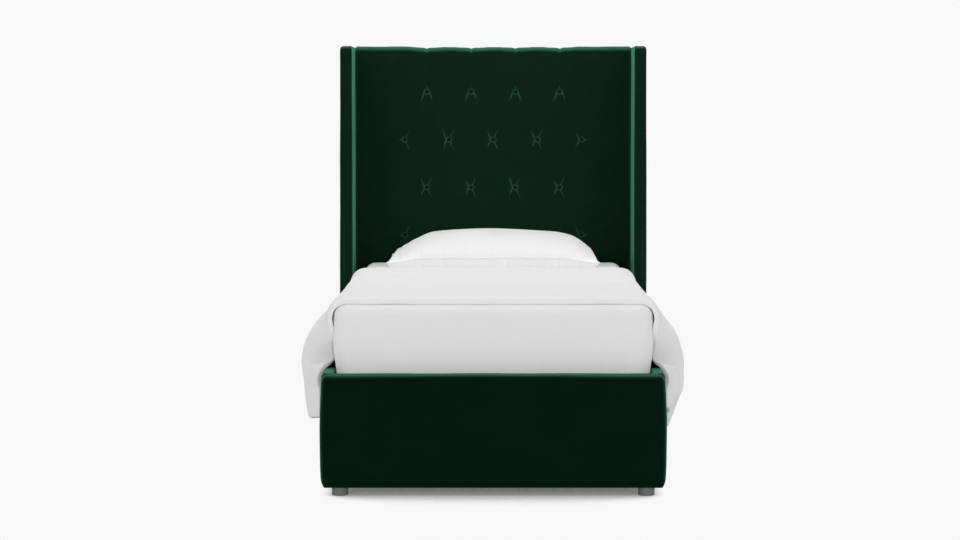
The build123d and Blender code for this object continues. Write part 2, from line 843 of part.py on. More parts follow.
def make_mattress_form(inset):
    """The mattress's outer form, with every face moved in by the inset."""
    side_swing = mattress_side_draw_in + mattress_side_bulge
    end_swing = mattress_end_draw_in + mattress_end_bulge
    with BuildPart() as form:
        for share, bulge_share in zip(mattress_height_shares, mattress_bulge_shares):
            side_inset = mattress_side_draw_in - bulge_share * side_swing + inset
            end_inset = mattress_end_draw_in - bulge_share * end_swing + inset
            z = deck_height + inset + share * (mattress_height - 2 * inset)
            with BuildSketch(Plane.XY.offset(z)):
                with Locations((0, mattress_centre_y)):
                    RectangleRounded(
                        mattress_width - 2 * side_inset,
                        mattress_length - 2 * end_inset,
                        mattress_corner_radius - inset,
                    )
        loft(ruled=True)
        fillet(form.faces().sort_by(Axis.Z)[-1].edges(), mattress_edge_radius - inset)
    return form.part


mattress_form = make_mattress_form(sheet_thickness + sheet_ease)
with BuildPart() as mattress:
    add(mattress_form)
save(mattress, "mattress")

sheet_outer_form = make_mattress_form(0)
sheet_inner_form = make_mattress_form(sheet_thickness)
with BuildPart() as fitted_sheet:
    add(sheet_outer_form)
    add(sheet_inner_form, mode=Mode.SUBTRACT)
    hem_half_width = mattress_width / 2 - mattress_side_draw_in - sheet_hem_width
    hem_half_length = mattress_length / 2 - sheet_hem_width
    add_block(
        (-hem_half_width, mattress_centre_y - hem_half_length, deck_height - overrun),
        (hem_half_width, mattress_centre_y + hem_half_length, deck_height + 2 * sheet_thickness),
        mode=Mode.SUBTRACT,
    )
save(fitted_sheet, "fitted_sheet")

# Duvet: sections along the bed, each a band that hugs the mattress or stands off it

duvet_side_x = mattress_width / 2 + mattress_side_bulge + duvet_clearance
duvet_rail_x = rail_outer_x + duvet_rail_clearance
duvet_seat_z = mattress_top + duvet_seat_gap
duvet_slope_z = base_top + duvet_slope_rise
duvet_belly_z = base_top - duvet_belly_drop
duvet_hem_z = base_top - duvet_hem_drop
duvet_front_y = foot_face_y + duvet_front_gap
pillow_front_y = panel_face_y - pillow_head_gap - pillow_depth
duvet_length = pillow_front_y - duvet_pillow_gap - duvet_front_y


def moved(point, distance, angle):
    """A point moved outwards by a distance, at an angle above the level."""
    return (
        point[0] + distance * cos(radians(angle)),
        point[1] + distance * sin(radians(angle)),
    )


def duvet_side_points(flare, hem_z):
    """Inner and outer (x, z) points of one side, from the top of the mattress to the hem."""
    middle = (duvet_side_x - duvet_shoulder, duvet_seat_z - duvet_shoulder)
    reach = duvet_shoulder + duvet_shoulder_thickness
    bend_angle = duvet_outward_angles["bend"]
    shoulder_x = duvet_side_x + duvet_shoulder_flare_share * flare
    slope_x = duvet_side_x + duvet_slope_flare_share * flare
    drop_x = duvet_rail_x + flare
    start = (middle[0], duvet_seat_z)
    bend = moved(middle, duvet_shoulder, bend_angle)
    shoulder = (shoulder_x, middle[1])
    slope = (slope_x, duvet_slope_z)
    belly_x = (slope_x + drop_x) / 2 - duvet_belly_sag + duvet_belly_flare_share * flare
    belly = (belly_x, (duvet_slope_z + duvet_belly_z) / 2)
    drop = (drop_x, duvet_belly_z)
    hem = (duvet_rail_x + duvet_hem_flare_share * flare, hem_z)
    inner = [start, bend, shoulder, slope, belly, drop, hem]
    outer = [
        (start[0], start[1] + duvet_thickness),
        moved(middle, reach, bend_angle),
        moved(shoulder, duvet_shoulder_thickness, duvet_outward_angles["shoulder"]),
        moved(slope, duvet_thickness, duvet_outward_angles["slope"]),
        moved(belly, duvet_thickness, duvet_outward_angles["belly"]),
        moved(drop, duvet_thickness, duvet_outward_angles["drop"]),
        (hem[0] + duvet_hem_thickness, hem[1]),
    ]
    return inner, outer


def draw_duvet_side(points):
    """Lines and arcs through one side's seven points."""
    start, bend, shoulder, slope, belly, drop, hem = points
    ThreePointArc(start, bend, shoulder)
    Line(shoulder, slope)
    ThreePointArc(slope, belly, drop)
    Line(drop, hem)


with BuildPart() as duvet:
    for place, left_flare, right_flare, left_hem, right_hem in zip(
        duvet_place_shares,
        duvet_left_flare_shares,
        duvet_right_flare_shares,
        duvet_left_hem_shares,
        duvet_right_hem_shares,
    ):
        edges = {}
        for word, flare, hem in (("left", left_flare, left_hem), ("right", right_flare, right_hem)):
            points = duvet_side_points(duvet_flare * flare, duvet_hem_z + duvet_hem_wave * hem)
            edges[word] = [[(sides[word] * x, z) for x, z in line] for line in points]
        section_y = duvet_front_y + place * duvet_length
        with BuildSketch(Plane.XZ.offset(-section_y)):
            with BuildLine():
                for word in sides:
                    inner, outer = edges[word]
                    draw_duvet_side(inner)
                    draw_duvet_side(outer)
                    Line(inner[-1], outer[-1])
                for layer in (0, 1):
                    Line(edges["left"][layer][0], edges["right"][layer][0])
            make_face()
    loft(ruled=True)
save(duvet, "duvet")

# Pillow: sections across the bed, each flat below and crowned above its sewn edge

pillow_seat_z = mattress_top + pillow_seat_gap
pillow_centre_y = panel_face_y - pillow_head_gap - pillow_depth / 2
with BuildPart() as pillow:
    for place, height_share, depth_share, bottom_share in zip(
        pillow_place_shares, pillow_height_shares, pillow_depth_shares, pillow_bottom_shares
    ):
        half = pillow_depth / 2 * depth_share
        top = pillow_height * height_share
        seam_top = pillow_seam_height + pillow_seam_thickness
        rise = top - seam_top
        flat = half * bottom_share
        with BuildSketch(Plane.YZ.offset(place * pillow_width / 2)):
            with BuildLine():
                for way in sides.values():
                    y = pillow_centre_y
                    edge_y = y + way * half
                    shoulder = (
                        y + way * half * pillow_shoulder_share,
                        pillow_seat_z + seam_top + rise * pillow_shoulder_height_share,
                    )
                    cheek = (
                        y + way * half * pillow_cheek_share,
                        pillow_seat_z + seam_top + rise * pillow_cheek_height_share,
                    )
                    belly = (
                        y + way * half * pillow_belly_share,
                        pillow_seat_z + pillow_seam_height * pillow_belly_height_share,
                    )
                    ThreePointArc((edge_y, pillow_seat_z + seam_top), cheek, shoulder)
                    Line(
                        (edge_y, pillow_seat_z + pillow_seam_height),
                        (edge_y, pillow_seat_z + seam_top),
                    )
                    ThreePointArc(
                        (y + way * flat, pillow_seat_z),
                        belly,
                        (edge_y, pillow_seat_z + pillow_seam_height),
                    )
                shoulder_z = shoulder[1]
                crown_reach = half * pillow_shoulder_share
                ThreePointArc(
                    (y - crown_reach, shoulder_z),
                    (y, pillow_seat_z + top),
                    (y + crown_reach, shoulder_z),
                )
                Line((y - flat, pillow_seat_z), (y + flat, pillow_seat_z))
            make_face()
    loft(ruled=True)
save(pillow, "pillow")
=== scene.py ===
"""Looks of the wingback bed, in metres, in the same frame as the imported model."""
import json
import math

import bmesh
import bpy
import numpy as np
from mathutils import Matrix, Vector


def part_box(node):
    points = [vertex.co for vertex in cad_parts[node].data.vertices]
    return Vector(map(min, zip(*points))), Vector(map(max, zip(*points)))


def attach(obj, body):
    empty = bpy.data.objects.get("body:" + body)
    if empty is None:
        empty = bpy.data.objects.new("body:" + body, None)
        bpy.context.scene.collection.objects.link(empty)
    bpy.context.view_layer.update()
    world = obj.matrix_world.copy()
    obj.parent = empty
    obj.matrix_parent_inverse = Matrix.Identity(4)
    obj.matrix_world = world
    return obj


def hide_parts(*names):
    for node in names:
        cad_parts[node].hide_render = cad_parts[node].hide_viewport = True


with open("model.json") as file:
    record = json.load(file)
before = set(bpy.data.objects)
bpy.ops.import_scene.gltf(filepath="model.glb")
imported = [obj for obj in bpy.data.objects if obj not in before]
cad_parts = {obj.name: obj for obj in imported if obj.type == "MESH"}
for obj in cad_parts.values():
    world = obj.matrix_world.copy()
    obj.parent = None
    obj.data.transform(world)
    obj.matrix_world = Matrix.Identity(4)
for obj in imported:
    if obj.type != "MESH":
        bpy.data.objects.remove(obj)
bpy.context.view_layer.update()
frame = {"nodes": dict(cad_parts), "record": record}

HEADBOARD_TOP = 1.388
PANEL_FACE_Y = 0.9375
PLYWOOD_FACE_Y = 0.9885
TUFT_COLUMN = 0.1675
TUFT_ROW = 0.1805
TUFT_TOP_DROP = 0.1715
TUFT_ROWS = (4, 5, 4, 5)
BUTTON_SEAT = 0.00906
BUTTON_RADIUS = 0.0091
BUTTON_HEIGHT = 0.007
DECK = 0.318
MATTRESS_TOP = 0.572
MATTRESS_CENTRE_Y = -0.0175
MATTRESS_FRONT = -0.9675
MATTRESS_HALF = (0.4825, 0.95)
PLAN_CORNER = 0.045
TOP_ROLL = 0.033
BACKDROP = 0.939


# ---------------------------------------------------------------- surfaces

def ripple(u, v, wavelength, seed, waves=7):
    """Smooth unevenness from about -1 to 1: a sum of plane waves of about the given
    wavelength, in seeded directions and phases."""
    rng = np.random.default_rng(seed)
    total = 0
    for _ in range(waves):
        way = rng.uniform(0, 2 * np.pi)
        pace = 2 * np.pi / (wavelength * rng.uniform(0.75, 1.35))
        total = total + np.sin(pace * (u * np.cos(way) + v * np.sin(way)) + rng.uniform(0, 6.3))
    return total / (1.4 * waves ** 0.5)


def smooth(value, start, end):
    """0 before start, 1 after end, and an S-curve between them."""
    share = np.clip((value - start) / (end - start), 0, 1)
    return share * share * (3 - 2 * share)


def bell(off, width, power=2):
    """1 where off is 0, fading on both sides over about the width, more suddenly with
    more power."""
    return np.exp(-np.abs(off / width) ** power)


def rounded(radius, over):
    """How far a round edge has fallen back at the distance over past its start."""
    return radius - np.sqrt(radius**2 - np.clip(over, 0, radius) ** 2)


def quarter(steps):
    """Angles from 0 to a right angle."""
    return np.linspace(0, np.pi / 2, steps)


def through(knots, values, wanted):
    """A smooth curve through the values at the knots (cubic, with the slopes of a
    parabola through each three neighbours), read off at the wanted places.
    Values may have further axes after the first."""
    knots, values, wanted = map(np.asarray, (knots, values, wanted))
    steps = np.diff(knots).reshape((-1,) + (1,) * (values.ndim - 1))
    slopes = np.diff(values, axis=0) / steps
    inner = (slopes[:-1] * steps[1:] + slopes[1:] * steps[:-1]) / (steps[1:] + steps[:-1])
    tangents = np.concatenate([slopes[:1], inner, slopes[-1:]])
    place = np.clip(np.searchsorted(knots, wanted, side="right") - 1, 0, len(knots) - 2)
    step = np.diff(knots)[place]
    t = ((wanted - knots[place]) / step).reshape((-1,) + (1,) * (values.ndim - 1))
    step = step.reshape(t.shape)
    return (
        (2 * t**3 - 3 * t**2 + 1) * values[place]
        + (t**3 - 2 * t**2 + t) * step * tangents[place]
        + (3 * t**2 - 2 * t**3) * values[place + 1]
        + (t**3 - t**2) * step * tangents[place + 1]
    )


def grid_of(x, y, z):
    """Points from three coordinates, spread over their common grid."""
    return np.stack(np.broadcast_arrays(x, y, z), axis=-1)


def surface(points, wraps=False, ends=False):
    """A grid of points as a patch of squares. A grid that wraps joins its last column to
    its first; ends closes the first and last rows with flat faces."""
    rows, columns = points.shape[:2]
    index = np.arange(rows * columns).reshape(rows, columns)
    if wraps:
        index = np.hstack([index, index[:, :1]])
    cells = np.stack([index[:-1, :-1], index[:-1, 1:], index[1:, 1:], index[1:, :-1]], axis=-1)
    faces = cells.reshape(-1, 4).tolist()
    if ends:
        faces.append(list(range(columns)))
        faces.append(list(range((rows - 1) * columns, rows * columns)))
    return points.reshape(-1, 3), faces


def make_piece(name, patches, material, body, replaced, weld=0.00002):
    """One object from patches: points joined, touching ones welded, normals turned
    outwards, and shaded smooth except over sharp edges."""
    points = np.vstack([patch[0] for patch in patches])
    faces, start = [], 0
    for some_points, some_faces in patches:
        faces += [[corner + start for corner in face] for face in some_faces]
        start += len(some_points)
    mesh = bpy.data.meshes.new(name)
    mesh.from_pydata(points.tolist(), [], faces)
    work = bmesh.new()
    work.from_mesh(mesh)
    bmesh.ops.remove_doubles(work, verts=work.verts, dist=weld)
    bmesh.ops.dissolve_degenerate(work, edges=work.edges, dist=weld / 4)
    bmesh.ops.recalc_face_normals(work, faces=work.faces)
    work.to_mesh(mesh)
    work.free()
    mesh.shade_smooth()
    mesh.set_sharp_from_angle(angle=math.radians(38))
    mesh.materials.append(material)
    piece = bpy.data.objects.new(name, mesh)
    bpy.context.scene.collection.objects.link(piece)
    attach(piece, body)
    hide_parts(*replaced)
    return piece


def thicken(piece, thickness):
    """Gives a sheet its thickness, inwards from its surface."""
    wall = piece.modifiers.new("thickness", "SOLIDIFY")
    wall.thickness, wall.offset = thickness, -1


def ring(long_steps, short_steps, arc_steps):
    """Round a rectangle with rounded corners: shares (cx, cy) of the way to the corner
    centres and outward directions (dx, dy), all from -1 to 1."""
    parts = []
    for turn in range(4):
        steps = long_steps if turn % 2 == 0 else short_steps
        run = np.linspace(-1, 1, steps + 1)
        way = turn * np.pi / 2
        across, along = (np.cos(way), np.sin(way)), (-np.sin(way), np.cos(way))
        side = [run * across[0] - along[0], run * across[1] - along[1],
                np.full_like(run, -along[0]), np.full_like(run, -along[1])]
        angles = way - np.pi / 2 + quarter(arc_steps + 2)[1:-1]
        corner = [np.full_like(angles, across[0] - along[0]),
                  np.full_like(angles, across[1] - along[1]), np.cos(angles), np.sin(angles)]
        parts.append(np.hstack([side, corner]))
    return np.hstack(parts)


def plan(low, high):
    """Centre and half sizes of a box, seen from above."""
    return (((low.x + high.x) / 2, (low.y + high.y) / 2),
            ((high.x - low.x) / 2, (high.y - low.y) / 2))


def loop(round_it, centre, half, inset, radius, z):
    """One closed line of points: the rounded rectangle of the half sizes less the inset."""
    cx, cy, dx, dy = round_it
    wide, deep = np.maximum(half[0] - inset, 0), np.maximum(half[1] - inset, 0)
    r = np.minimum(np.maximum(radius - inset, 0.0004), np.minimum(wide, deep))
    return grid_of(centre[0] + cx * (wide - r) + dx * r, centre[1] + cy * (deep - r) + dy * r, z)


def sunk(points, depth, wraps=False):
    """The grid with each point moved by the depth against the outward normal, where the
    normal is the cross product of the grid's column and row directions."""
    rows = np.gradient(points, axis=0)
    if wraps:
        columns = np.roll(points, -1, axis=1) - np.roll(points, 1, axis=1)
    else:
        columns = np.gradient(points, axis=1)
    normal = np.cross(columns, rows)
    normal /= np.maximum(np.linalg.norm(normal, axis=-1, keepdims=True), 1e-12)
    return points - normal * depth[..., None]


def spread(low, high, centres, reach):
    """Places from low to high, a fine step apart near the centres and a coarse step
    apart elsewhere."""
    fine, coarse = 0.0011, 0.006
    dense = np.linspace(low, high, 4000)
    near = np.zeros_like(dense)
    for centre in centres:
        near = np.maximum(near, 1 - smooth(np.abs(dense - centre), reach, 1.6 * reach))
    pace = (1 - near) / coarse + near / fine
    run = np.hstack([[0], np.cumsum((pace[1:] + pace[:-1]) / 2 * np.diff(dense))])
    return np.interp(np.linspace(0, run[-1], int(np.ceil(run[-1])) + 1), run, dense)


# ---------------------------------------------------------------- materials

def add(tree, kind, inputs=None, **settings):
    """A node with its settings; each input is given a value, or joined to a socket."""
    made = tree.nodes.new(kind)
    for key, value in settings.items():
        setattr(made, key, value)
    for key, value in (inputs or {}).items():
        if isinstance(value, bpy.types.NodeSocket):
            tree.links.new(value, made.inputs[key])
        else:
            made.inputs[key].default_value = value
    return made


def calc(tree, operation, *values, clamp=False):
    """The result of one sum on one, two or three values or sockets."""
    return add(tree, "ShaderNodeMath", dict(enumerate(values)), operation=operation,
               use_clamp=clamp).outputs[0]


def noise(tree, where, scale, detail=2.0, roughness=0.5, distortion=0.0):
    """A cloudy value from 0 to 1 at the places where."""
    return add(tree, "ShaderNodeTexNoise", {
        "Vector": where, "Scale": scale, "Detail": detail, "Roughness": roughness,
        "Distortion": distortion}).outputs["Fac"]


def mixed(tree, share, first, second):
    """A colour between the first and the second."""
    return add(tree, "ShaderNodeMix", {0: share, 6: first, 7: second},
               data_type="RGBA").outputs[2]


def toned(tree, colour, value):
    """The colour made darker or lighter by the value."""
    return add(tree, "ShaderNodeHueSaturation", {"Color": colour, "Value": value}).outputs["Color"]


def along_axis(tree, axis):
    """The object's own coordinate along an axis."""
    where = add(tree, "ShaderNodeTexCoord").outputs["Object"]
    return add(tree, "ShaderNodeSeparateXYZ", {0: where}).outputs[axis]


def eased(tree, value, start, end):
    """0 before start, 1 after end, and an S-curve between them, as a node."""
    return add(tree, "ShaderNodeMapRange", {"Value": value, "From Min": start, "From Max": end},
               interpolation_type="SMOOTHSTEP").outputs[0]


def grey(value):
    """A neutral colour."""
    return (value, value, value, 1)


def new_group(name, inputs, outputs):
    """An empty shader group that takes a Vector and the named inputs {label: value}, and
    puts out the named outputs, of which Colour is a colour and the rest are values. Gives
    the tree, its input sockets by label, and its output node."""
    tree = bpy.data.node_groups.new(name, "ShaderNodeTree")
    tree.interface.new_socket("Vector", in_out="INPUT", socket_type="NodeSocketVector")
    for label, value in inputs.items():
        kind = "NodeSocketColor" if isinstance(value, tuple) else "NodeSocketFloat"
        tree.interface.new_socket(label, in_out="INPUT", socket_type=kind).default_value = value
    for label in outputs:
        kind = "NodeSocketColor" if label == "Colour" else "NodeSocketFloat"
        tree.interface.new_socket(label, in_out="OUTPUT", socket_type=kind)
    start, end = tree.nodes.new("NodeGroupInput"), tree.nodes.new("NodeGroupOutput")
    return tree, start.outputs, end


def finish_group(tree, end, **results):
    """Joins the results to the group's outputs."""
    for label, socket in results.items():
        tree.links.new(socket, end.inputs[label])
    return tree


def velvet_group():
    """Cut pile, with its sheen painted into the colour: dark where it faces the eye and painted
    bright where it is seen from the side. Soft patches of brushed pile shift the colour a little."""
    tree, given, end = new_group(
        "velvet pile",
        {"Facing": 0.0, "Deep colour": (0.01, 0.03, 0.02, 1),
         "Painted sheen colour": (0.07, 0.22, 0.15, 1), "Spread": 0.8, "Brushed": 0.25},
        ("Colour", "Height"))
    share = calc(tree, "POWER", given["Facing"], given["Spread"])
    patches = calc(tree, "SUBTRACT", noise(tree, given["Vector"], 9.0, 3.0, 0.55), 0.5)
    patches = calc(tree, "MULTIPLY", patches, given["Brushed"])
    fine = noise(tree, given["Vector"], 1400.0, 1.0)
    shade = calc(tree, "ADD", patches, calc(tree, "MULTIPLY_ADD", fine, 0.05, -0.025))
    lift = calc(tree, "MULTIPLY", shade, calc(tree, "ADD", share, 0.08))
    share = calc(tree, "ADD", share, lift, clamp=True)
    colour = mixed(tree, share, given["Deep colour"], given["Painted sheen colour"])
    return finish_group(tree, end, Colour=colour, Height=fine)


def cloth_group():
    """Woven cotton: a fine grain of threads, with broad places that differ a little in
    tone and height."""
    tree, given, end = new_group(
        "woven cloth", {"Colour": grey(0.86), "Threads": 1100.0, "Unevenness": 0.03},
        ("Colour", "Height"))
    broad = noise(tree, given["Vector"], 14.0, 3.0, 0.55)
    fine = noise(tree, given["Vector"], given["Threads"], 1.0)
    uneven = calc(tree, "MULTIPLY", calc(tree, "SUBTRACT", broad, 0.5), given["Unevenness"])
    colour = toned(tree, given["Colour"], calc(tree, "ADD", uneven, 1.0))
    height = calc(tree, "MULTIPLY_ADD", broad, 2.0, fine)
    return finish_group(tree, end, Colour=colour, Height=height)


def wood_group():
    """Boards: long growth lines bent by slow noise, fine pores and a slow change of tone.
    The places come in already stretched along the grain."""
    tree, given, end = new_group(
        "wood",
        {"Light colour": (0.7, 0.5, 0.3, 1), "Dark colour": (0.5, 0.32, 0.17, 1),
         "Contrast": 0.6},
        ("Colour", "Roughness", "Height"))
    bend = noise(tree, given["Vector"], 1.6, 2.0)
    lines = noise(tree, given["Vector"], 7.0, 4.0, 0.5, 0.6)
    pores = noise(tree, given["Vector"], 90.0, 2.0)
    share = calc(tree, "MULTIPLY_ADD", bend, 0.5, lines)
    share = calc(tree, "SUBTRACT", calc(tree, "MULTIPLY_ADD", pores, 0.25, share), 0.62)
    share = calc(tree, "MULTIPLY_ADD", share, given["Contrast"], 0.4, clamp=True)
    colour = mixed(tree, share, given["Light colour"], given["Dark colour"])
    rough = calc(tree, "MULTIPLY_ADD", pores, 0.2, 0.5)
    return finish_group(tree, end, Colour=colour, Roughness=rough, Height=pores)


def hard_group(name, cloud, grain, in_tone, in_gloss):
    """A hard finish: clouds of the given noise in its tone, by a share and from a least
    value, and in its gloss, and a fine grain of the given scale."""
    tree, given, end = new_group(name, {"Colour": grey(0.3), "Roughness": 0.4},
                                 ("Colour", "Roughness", "Height"))
    clouds = noise(tree, given["Vector"], *cloud)
    rough = calc(tree, "MULTIPLY_ADD", clouds, in_gloss, given["Roughness"])
    colour = toned(tree, given["Colour"], calc(tree, "MULTIPLY_ADD", clouds, *in_tone))
    return finish_group(tree, end, Colour=colour, Roughness=rough,
                        Height=noise(tree, given["Vector"], grain))


GROUPS = {
    "velvet": velvet_group(), "cloth": cloth_group(), "wood": wood_group(),
    "plastic": hard_group("moulded plastic", (25.0,), 900.0, (0.16, 0.92), 0.16),
    "steel": hard_group("plated steel", (70.0, 4.0, 0.6), 500.0, (0.3, 0.85), 0.2),
}


def new_material(name, group, inputs, bump, scales=None, **fixed):
    """A material round one group, on Object coordinates times the scales: the group's
    outputs go to the shader, its height to a bump of the given distance in metres. An
    input may be a function that makes its socket; fixed sets the shader's own values."""
    material = bpy.data.materials.new(name)
    material.use_nodes = True
    tree = material.node_tree
    shader = tree.nodes["Principled BSDF"]
    where = add(tree, "ShaderNodeTexCoord").outputs["Object"]
    if scales:
        where = add(tree, "ShaderNodeVectorMath", {0: where, 1: scales},
                    operation="MULTIPLY").outputs[0]
    given = {label: value(tree) if callable(value) else value for label, value in inputs.items()}
    # Velvet takes the facing share by which its group paints its sheen into the colour.
    if group == "velvet":
        given["Facing"] = add(tree, "ShaderNodeLayerWeight", {"Blend": 0.5}).outputs["Facing"]
    made = add(tree, "ShaderNodeGroup", {"Vector": where, **given},
               node_tree=GROUPS[group]).outputs
    tree.links.new(made["Colour"], shader.inputs["Base Color"])
    if "Roughness" in made:
        tree.links.new(made["Roughness"], shader.inputs["Roughness"])
    raised = add(tree, "ShaderNodeBump", {"Distance": bump, "Height": made["Height"]})
    tree.links.new(raised.outputs[0], shader.inputs["Normal"])
    for key, value in fixed.items():
        shader.inputs[key.replace("_", " ")].default_value = value
    return material


def velvet(name, deep, bright, spread=0.8):
    """Green velvet with its own facing colour and its side-on colour, a painted sheen."""
    return new_material(
        name, "velvet",
        {"Deep colour": deep + (1,), "Painted sheen colour": bright + (1,), "Spread": spread},
        0.00025, Roughness=0.95, Specular_IOR_Level=0.02)


def wood(name, axis, light, dark, contrast):
    """A board whose grain runs along the axis, 0 for X, 1 for Y and 2 for Z."""
    scales = [9.0, 9.0, 9.0]
    scales[axis] = 0.54
    return new_material(
        name, "wood",
        {"Light colour": light + (1,), "Dark colour": dark + (1,), "Contrast": contrast},
        0.0002, tuple(scales), Specular_IOR_Level=0.3)


def cloth(name, colour, threads=1100.0, bump=0.0002, rough=0.85, specular=0.15, sheen=0.08):
    """Cotton or twine of a colour, with so many threads and so deep a weave."""
    return new_material(name, "cloth", {"Colour": colour, "Threads": threads}, bump,
                        Roughness=rough, Specular_IOR_Level=specular, Sheen_Weight=sheen)


def hard(name, group, colour, rough, bump=0.00005, **fixed):
    """Plastic or steel of a colour."""
    return new_material(name, group, {"Colour": colour, "Roughness": rough}, bump, **fixed)


def pillow_colour_painted_paler_low(tree):
    """White, painted a little paler in the lowest part of the pillow, to lift the shade that falls
    there below its seam.
    """
    upper = eased(tree, along_axis(tree, "Z"), 0.605, 0.63)
    return mixed(tree, upper, (0.92, 0.91, 0.912, 1), (0.825, 0.815, 0.818, 1))


# One green velvet in five copies, one for each part, whose colours differ to paint the light each
# part gets: the headboard's and wings' copies are painted lighter than the base's, and the rails'
# side-on colour is painted brighter still, to lift the shade in the hollow under the duvet.
velvet_panel = velvet("velvet of headboard", (0.0044, 0.0185, 0.0096), (0.07, 0.235, 0.16))
velvet_wing = velvet("velvet of wings", (0.0036, 0.0164, 0.0077), (0.083, 0.275, 0.186))
velvet_base = velvet("velvet of base", (0.0012, 0.0104, 0.0052), (0.052, 0.168, 0.118), 1.15)
velvet_rail_painted_brighter = velvet("velvet of rails", (0.0014, 0.0108, 0.0055), (0.1, 0.31, 0.215), 1.25)
velvet_button = velvet("velvet of buttons", (0.003, 0.0125, 0.007), (0.045, 0.15, 0.105), 1.1)
bed_cotton = cloth("washed cotton", (0.865, 0.855, 0.86, 1))
pillow_cotton = cloth("pillow cotton", pillow_colour_painted_paler_low)
sheet_cotton = cloth("sheet cotton", (0.85, 0.84, 0.85, 1), rough=0.88, specular=0.12, sheen=0)
ticking = cloth("quilted ticking", (0.8, 0.8, 0.79, 1), 700.0, 0.0004, 0.9, 0.1, 0)
boards = {("plywood", 2): wood("plywood", 2, (0.66, 0.49, 0.31), (0.5, 0.34, 0.19), 0.45)}
for axis, letter in enumerate("XYZ"):
    boards["timber", axis] = wood(
        f"pine along {letter}", axis, (0.62, 0.43, 0.25), (0.4, 0.24, 0.12), 0.8)
    boards["slat_timber", axis] = wood(
        f"planed pine along {letter}", axis, (0.72, 0.54, 0.34), (0.5, 0.33, 0.18), 0.7)
plain = {
    "twine": cloth("waxed twine", (0.62, 0.55, 0.4, 1), 1500.0, 0.0003, 0.7, 0.3, 0),
    "zinc_steel": hard("zinc plate", "steel", (0.6, 0.61, 0.6, 1), 0.3, 0.00003, Metallic=1.0),
    "black_steel": hard("black powder coat", "steel", (0.03, 0.03, 0.032, 1), 0.5, 0.0001),
    "leg_plastic": hard("black plastic", "plastic", grey(0.03), 0.42),
    "leveller_plastic": hard("dark plastic", "plastic", grey(0.05), 0.42),
    "foot_plastic": hard("grey plastic", "plastic", (0.125, 0.135, 0.125, 1), 0.52),
}


def finish_nodes():
    """Gives each CAD node that stays shown the finish of its slot in the record; the grain
    of a board runs along its longest side."""
    slots = {part["node"]: part["material_slot"] for part in frame["record"]["subparts"]}
    for name, node in frame["nodes"].items():
        if node.hide_render:
            continue
        low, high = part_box(name)
        longest = int(np.argmax(np.array(high) - np.array(low)))
        slot = slots[name]
        material = plain.get(slot) or boards.get((slot, longest)) or boards[slot, 2]
        node.data.materials.clear()
        node.data.materials.append(material)


# ---------------------------------------------------------------- headboard

# Rows of (x, z) button centres, from the top row down, and all of them in one list.
tuft_rows = [[(-(count - 1) / 2 * TUFT_COLUMN + number * TUFT_COLUMN,
               HEADBOARD_TOP - TUFT_TOP_DROP - row * TUFT_ROW) for number in range(count)]
             for row, count in enumerate(TUFT_ROWS)]
tufts = [place for row in tuft_rows for place in row]


def slanting_folds(x, h):
    """Sharp folds and faint lines between each button and its neighbours in the next row.
    Each fold starts beside its button, swings onto the line between the two and fades
    over its reach; the pairs of numbers are for its upper and its lower end."""
    folds, soft = np.zeros_like(x), np.zeros_like(x)
    lines = [(a, b) for upper, lower in zip(tuft_rows, tuft_rows[1:]) for a in upper
             for b in lower if abs(a[0] - b[0]) < TUFT_COLUMN]
    for number, ((ax, az), (bx, bz)) in enumerate(lines):
        length = math.hypot(bx - ax, bz - az)
        ux, uz = (bx - ax) / length, (bz - az) / length
        along = (x - ax) * ux + (h - az) * uz
        share = np.clip(along / length, 0, 1)
        off = (x - ax) * uz - (h - az) * ux
        off = off + 0.0014 * np.sin(along * 48 + number * 2.1) * np.sin(np.pi * share)
        from_top = az == tuft_rows[0][0][1]
        if ux < 0:
            starts, reaches, asides = (1.1, 0.7), (0.044 if from_top else 0.027, 0.036), (0.0088, 0)
        else:
            starts, reaches = (1.0 if from_top else 0.75, 1.1), (0.03, 0.03)
            asides = (-0.0085 if from_top else 0, 0.0088)
        behind_pillow = bz == tuft_rows[-1][0][1] and abs(bx) < 0.2
        if behind_pillow:
            reaches = (reaches[0], 0.011)
        start, reach, aside = (np.where(along < length / 2, *pair)
                               for pair in (starts, reaches, asides))
        near = np.minimum(along, length - along)
        inside = np.where(aside != 0, smooth(near, -0.003, 0.004), smooth(near, 0.006, 0.011))
        near = np.maximum(near, 0)
        off = off - aside * bell(near, 0.055)
        reach = reach * (1 + 0.2 * math.sin(number * 1.7))
        depth = 0.0030 * start * bell(np.maximum(near - 0.008, 0), reach)
        folds = np.maximum(folds, inside * depth * bell(off, 0.0010 + 0.005 * near, 1))
        faint = (0.0008 if ux > 0 else 0.0002) * (0.6 + 0.4 * math.sin(number * 4.3))
        soft = np.maximum(soft, inside * (0.0006 * bell(near, 0.03, 1) * bell(off, 0.01)
                                          + faint * bell(off, 0.0022, 1.3)))
    return folds, soft


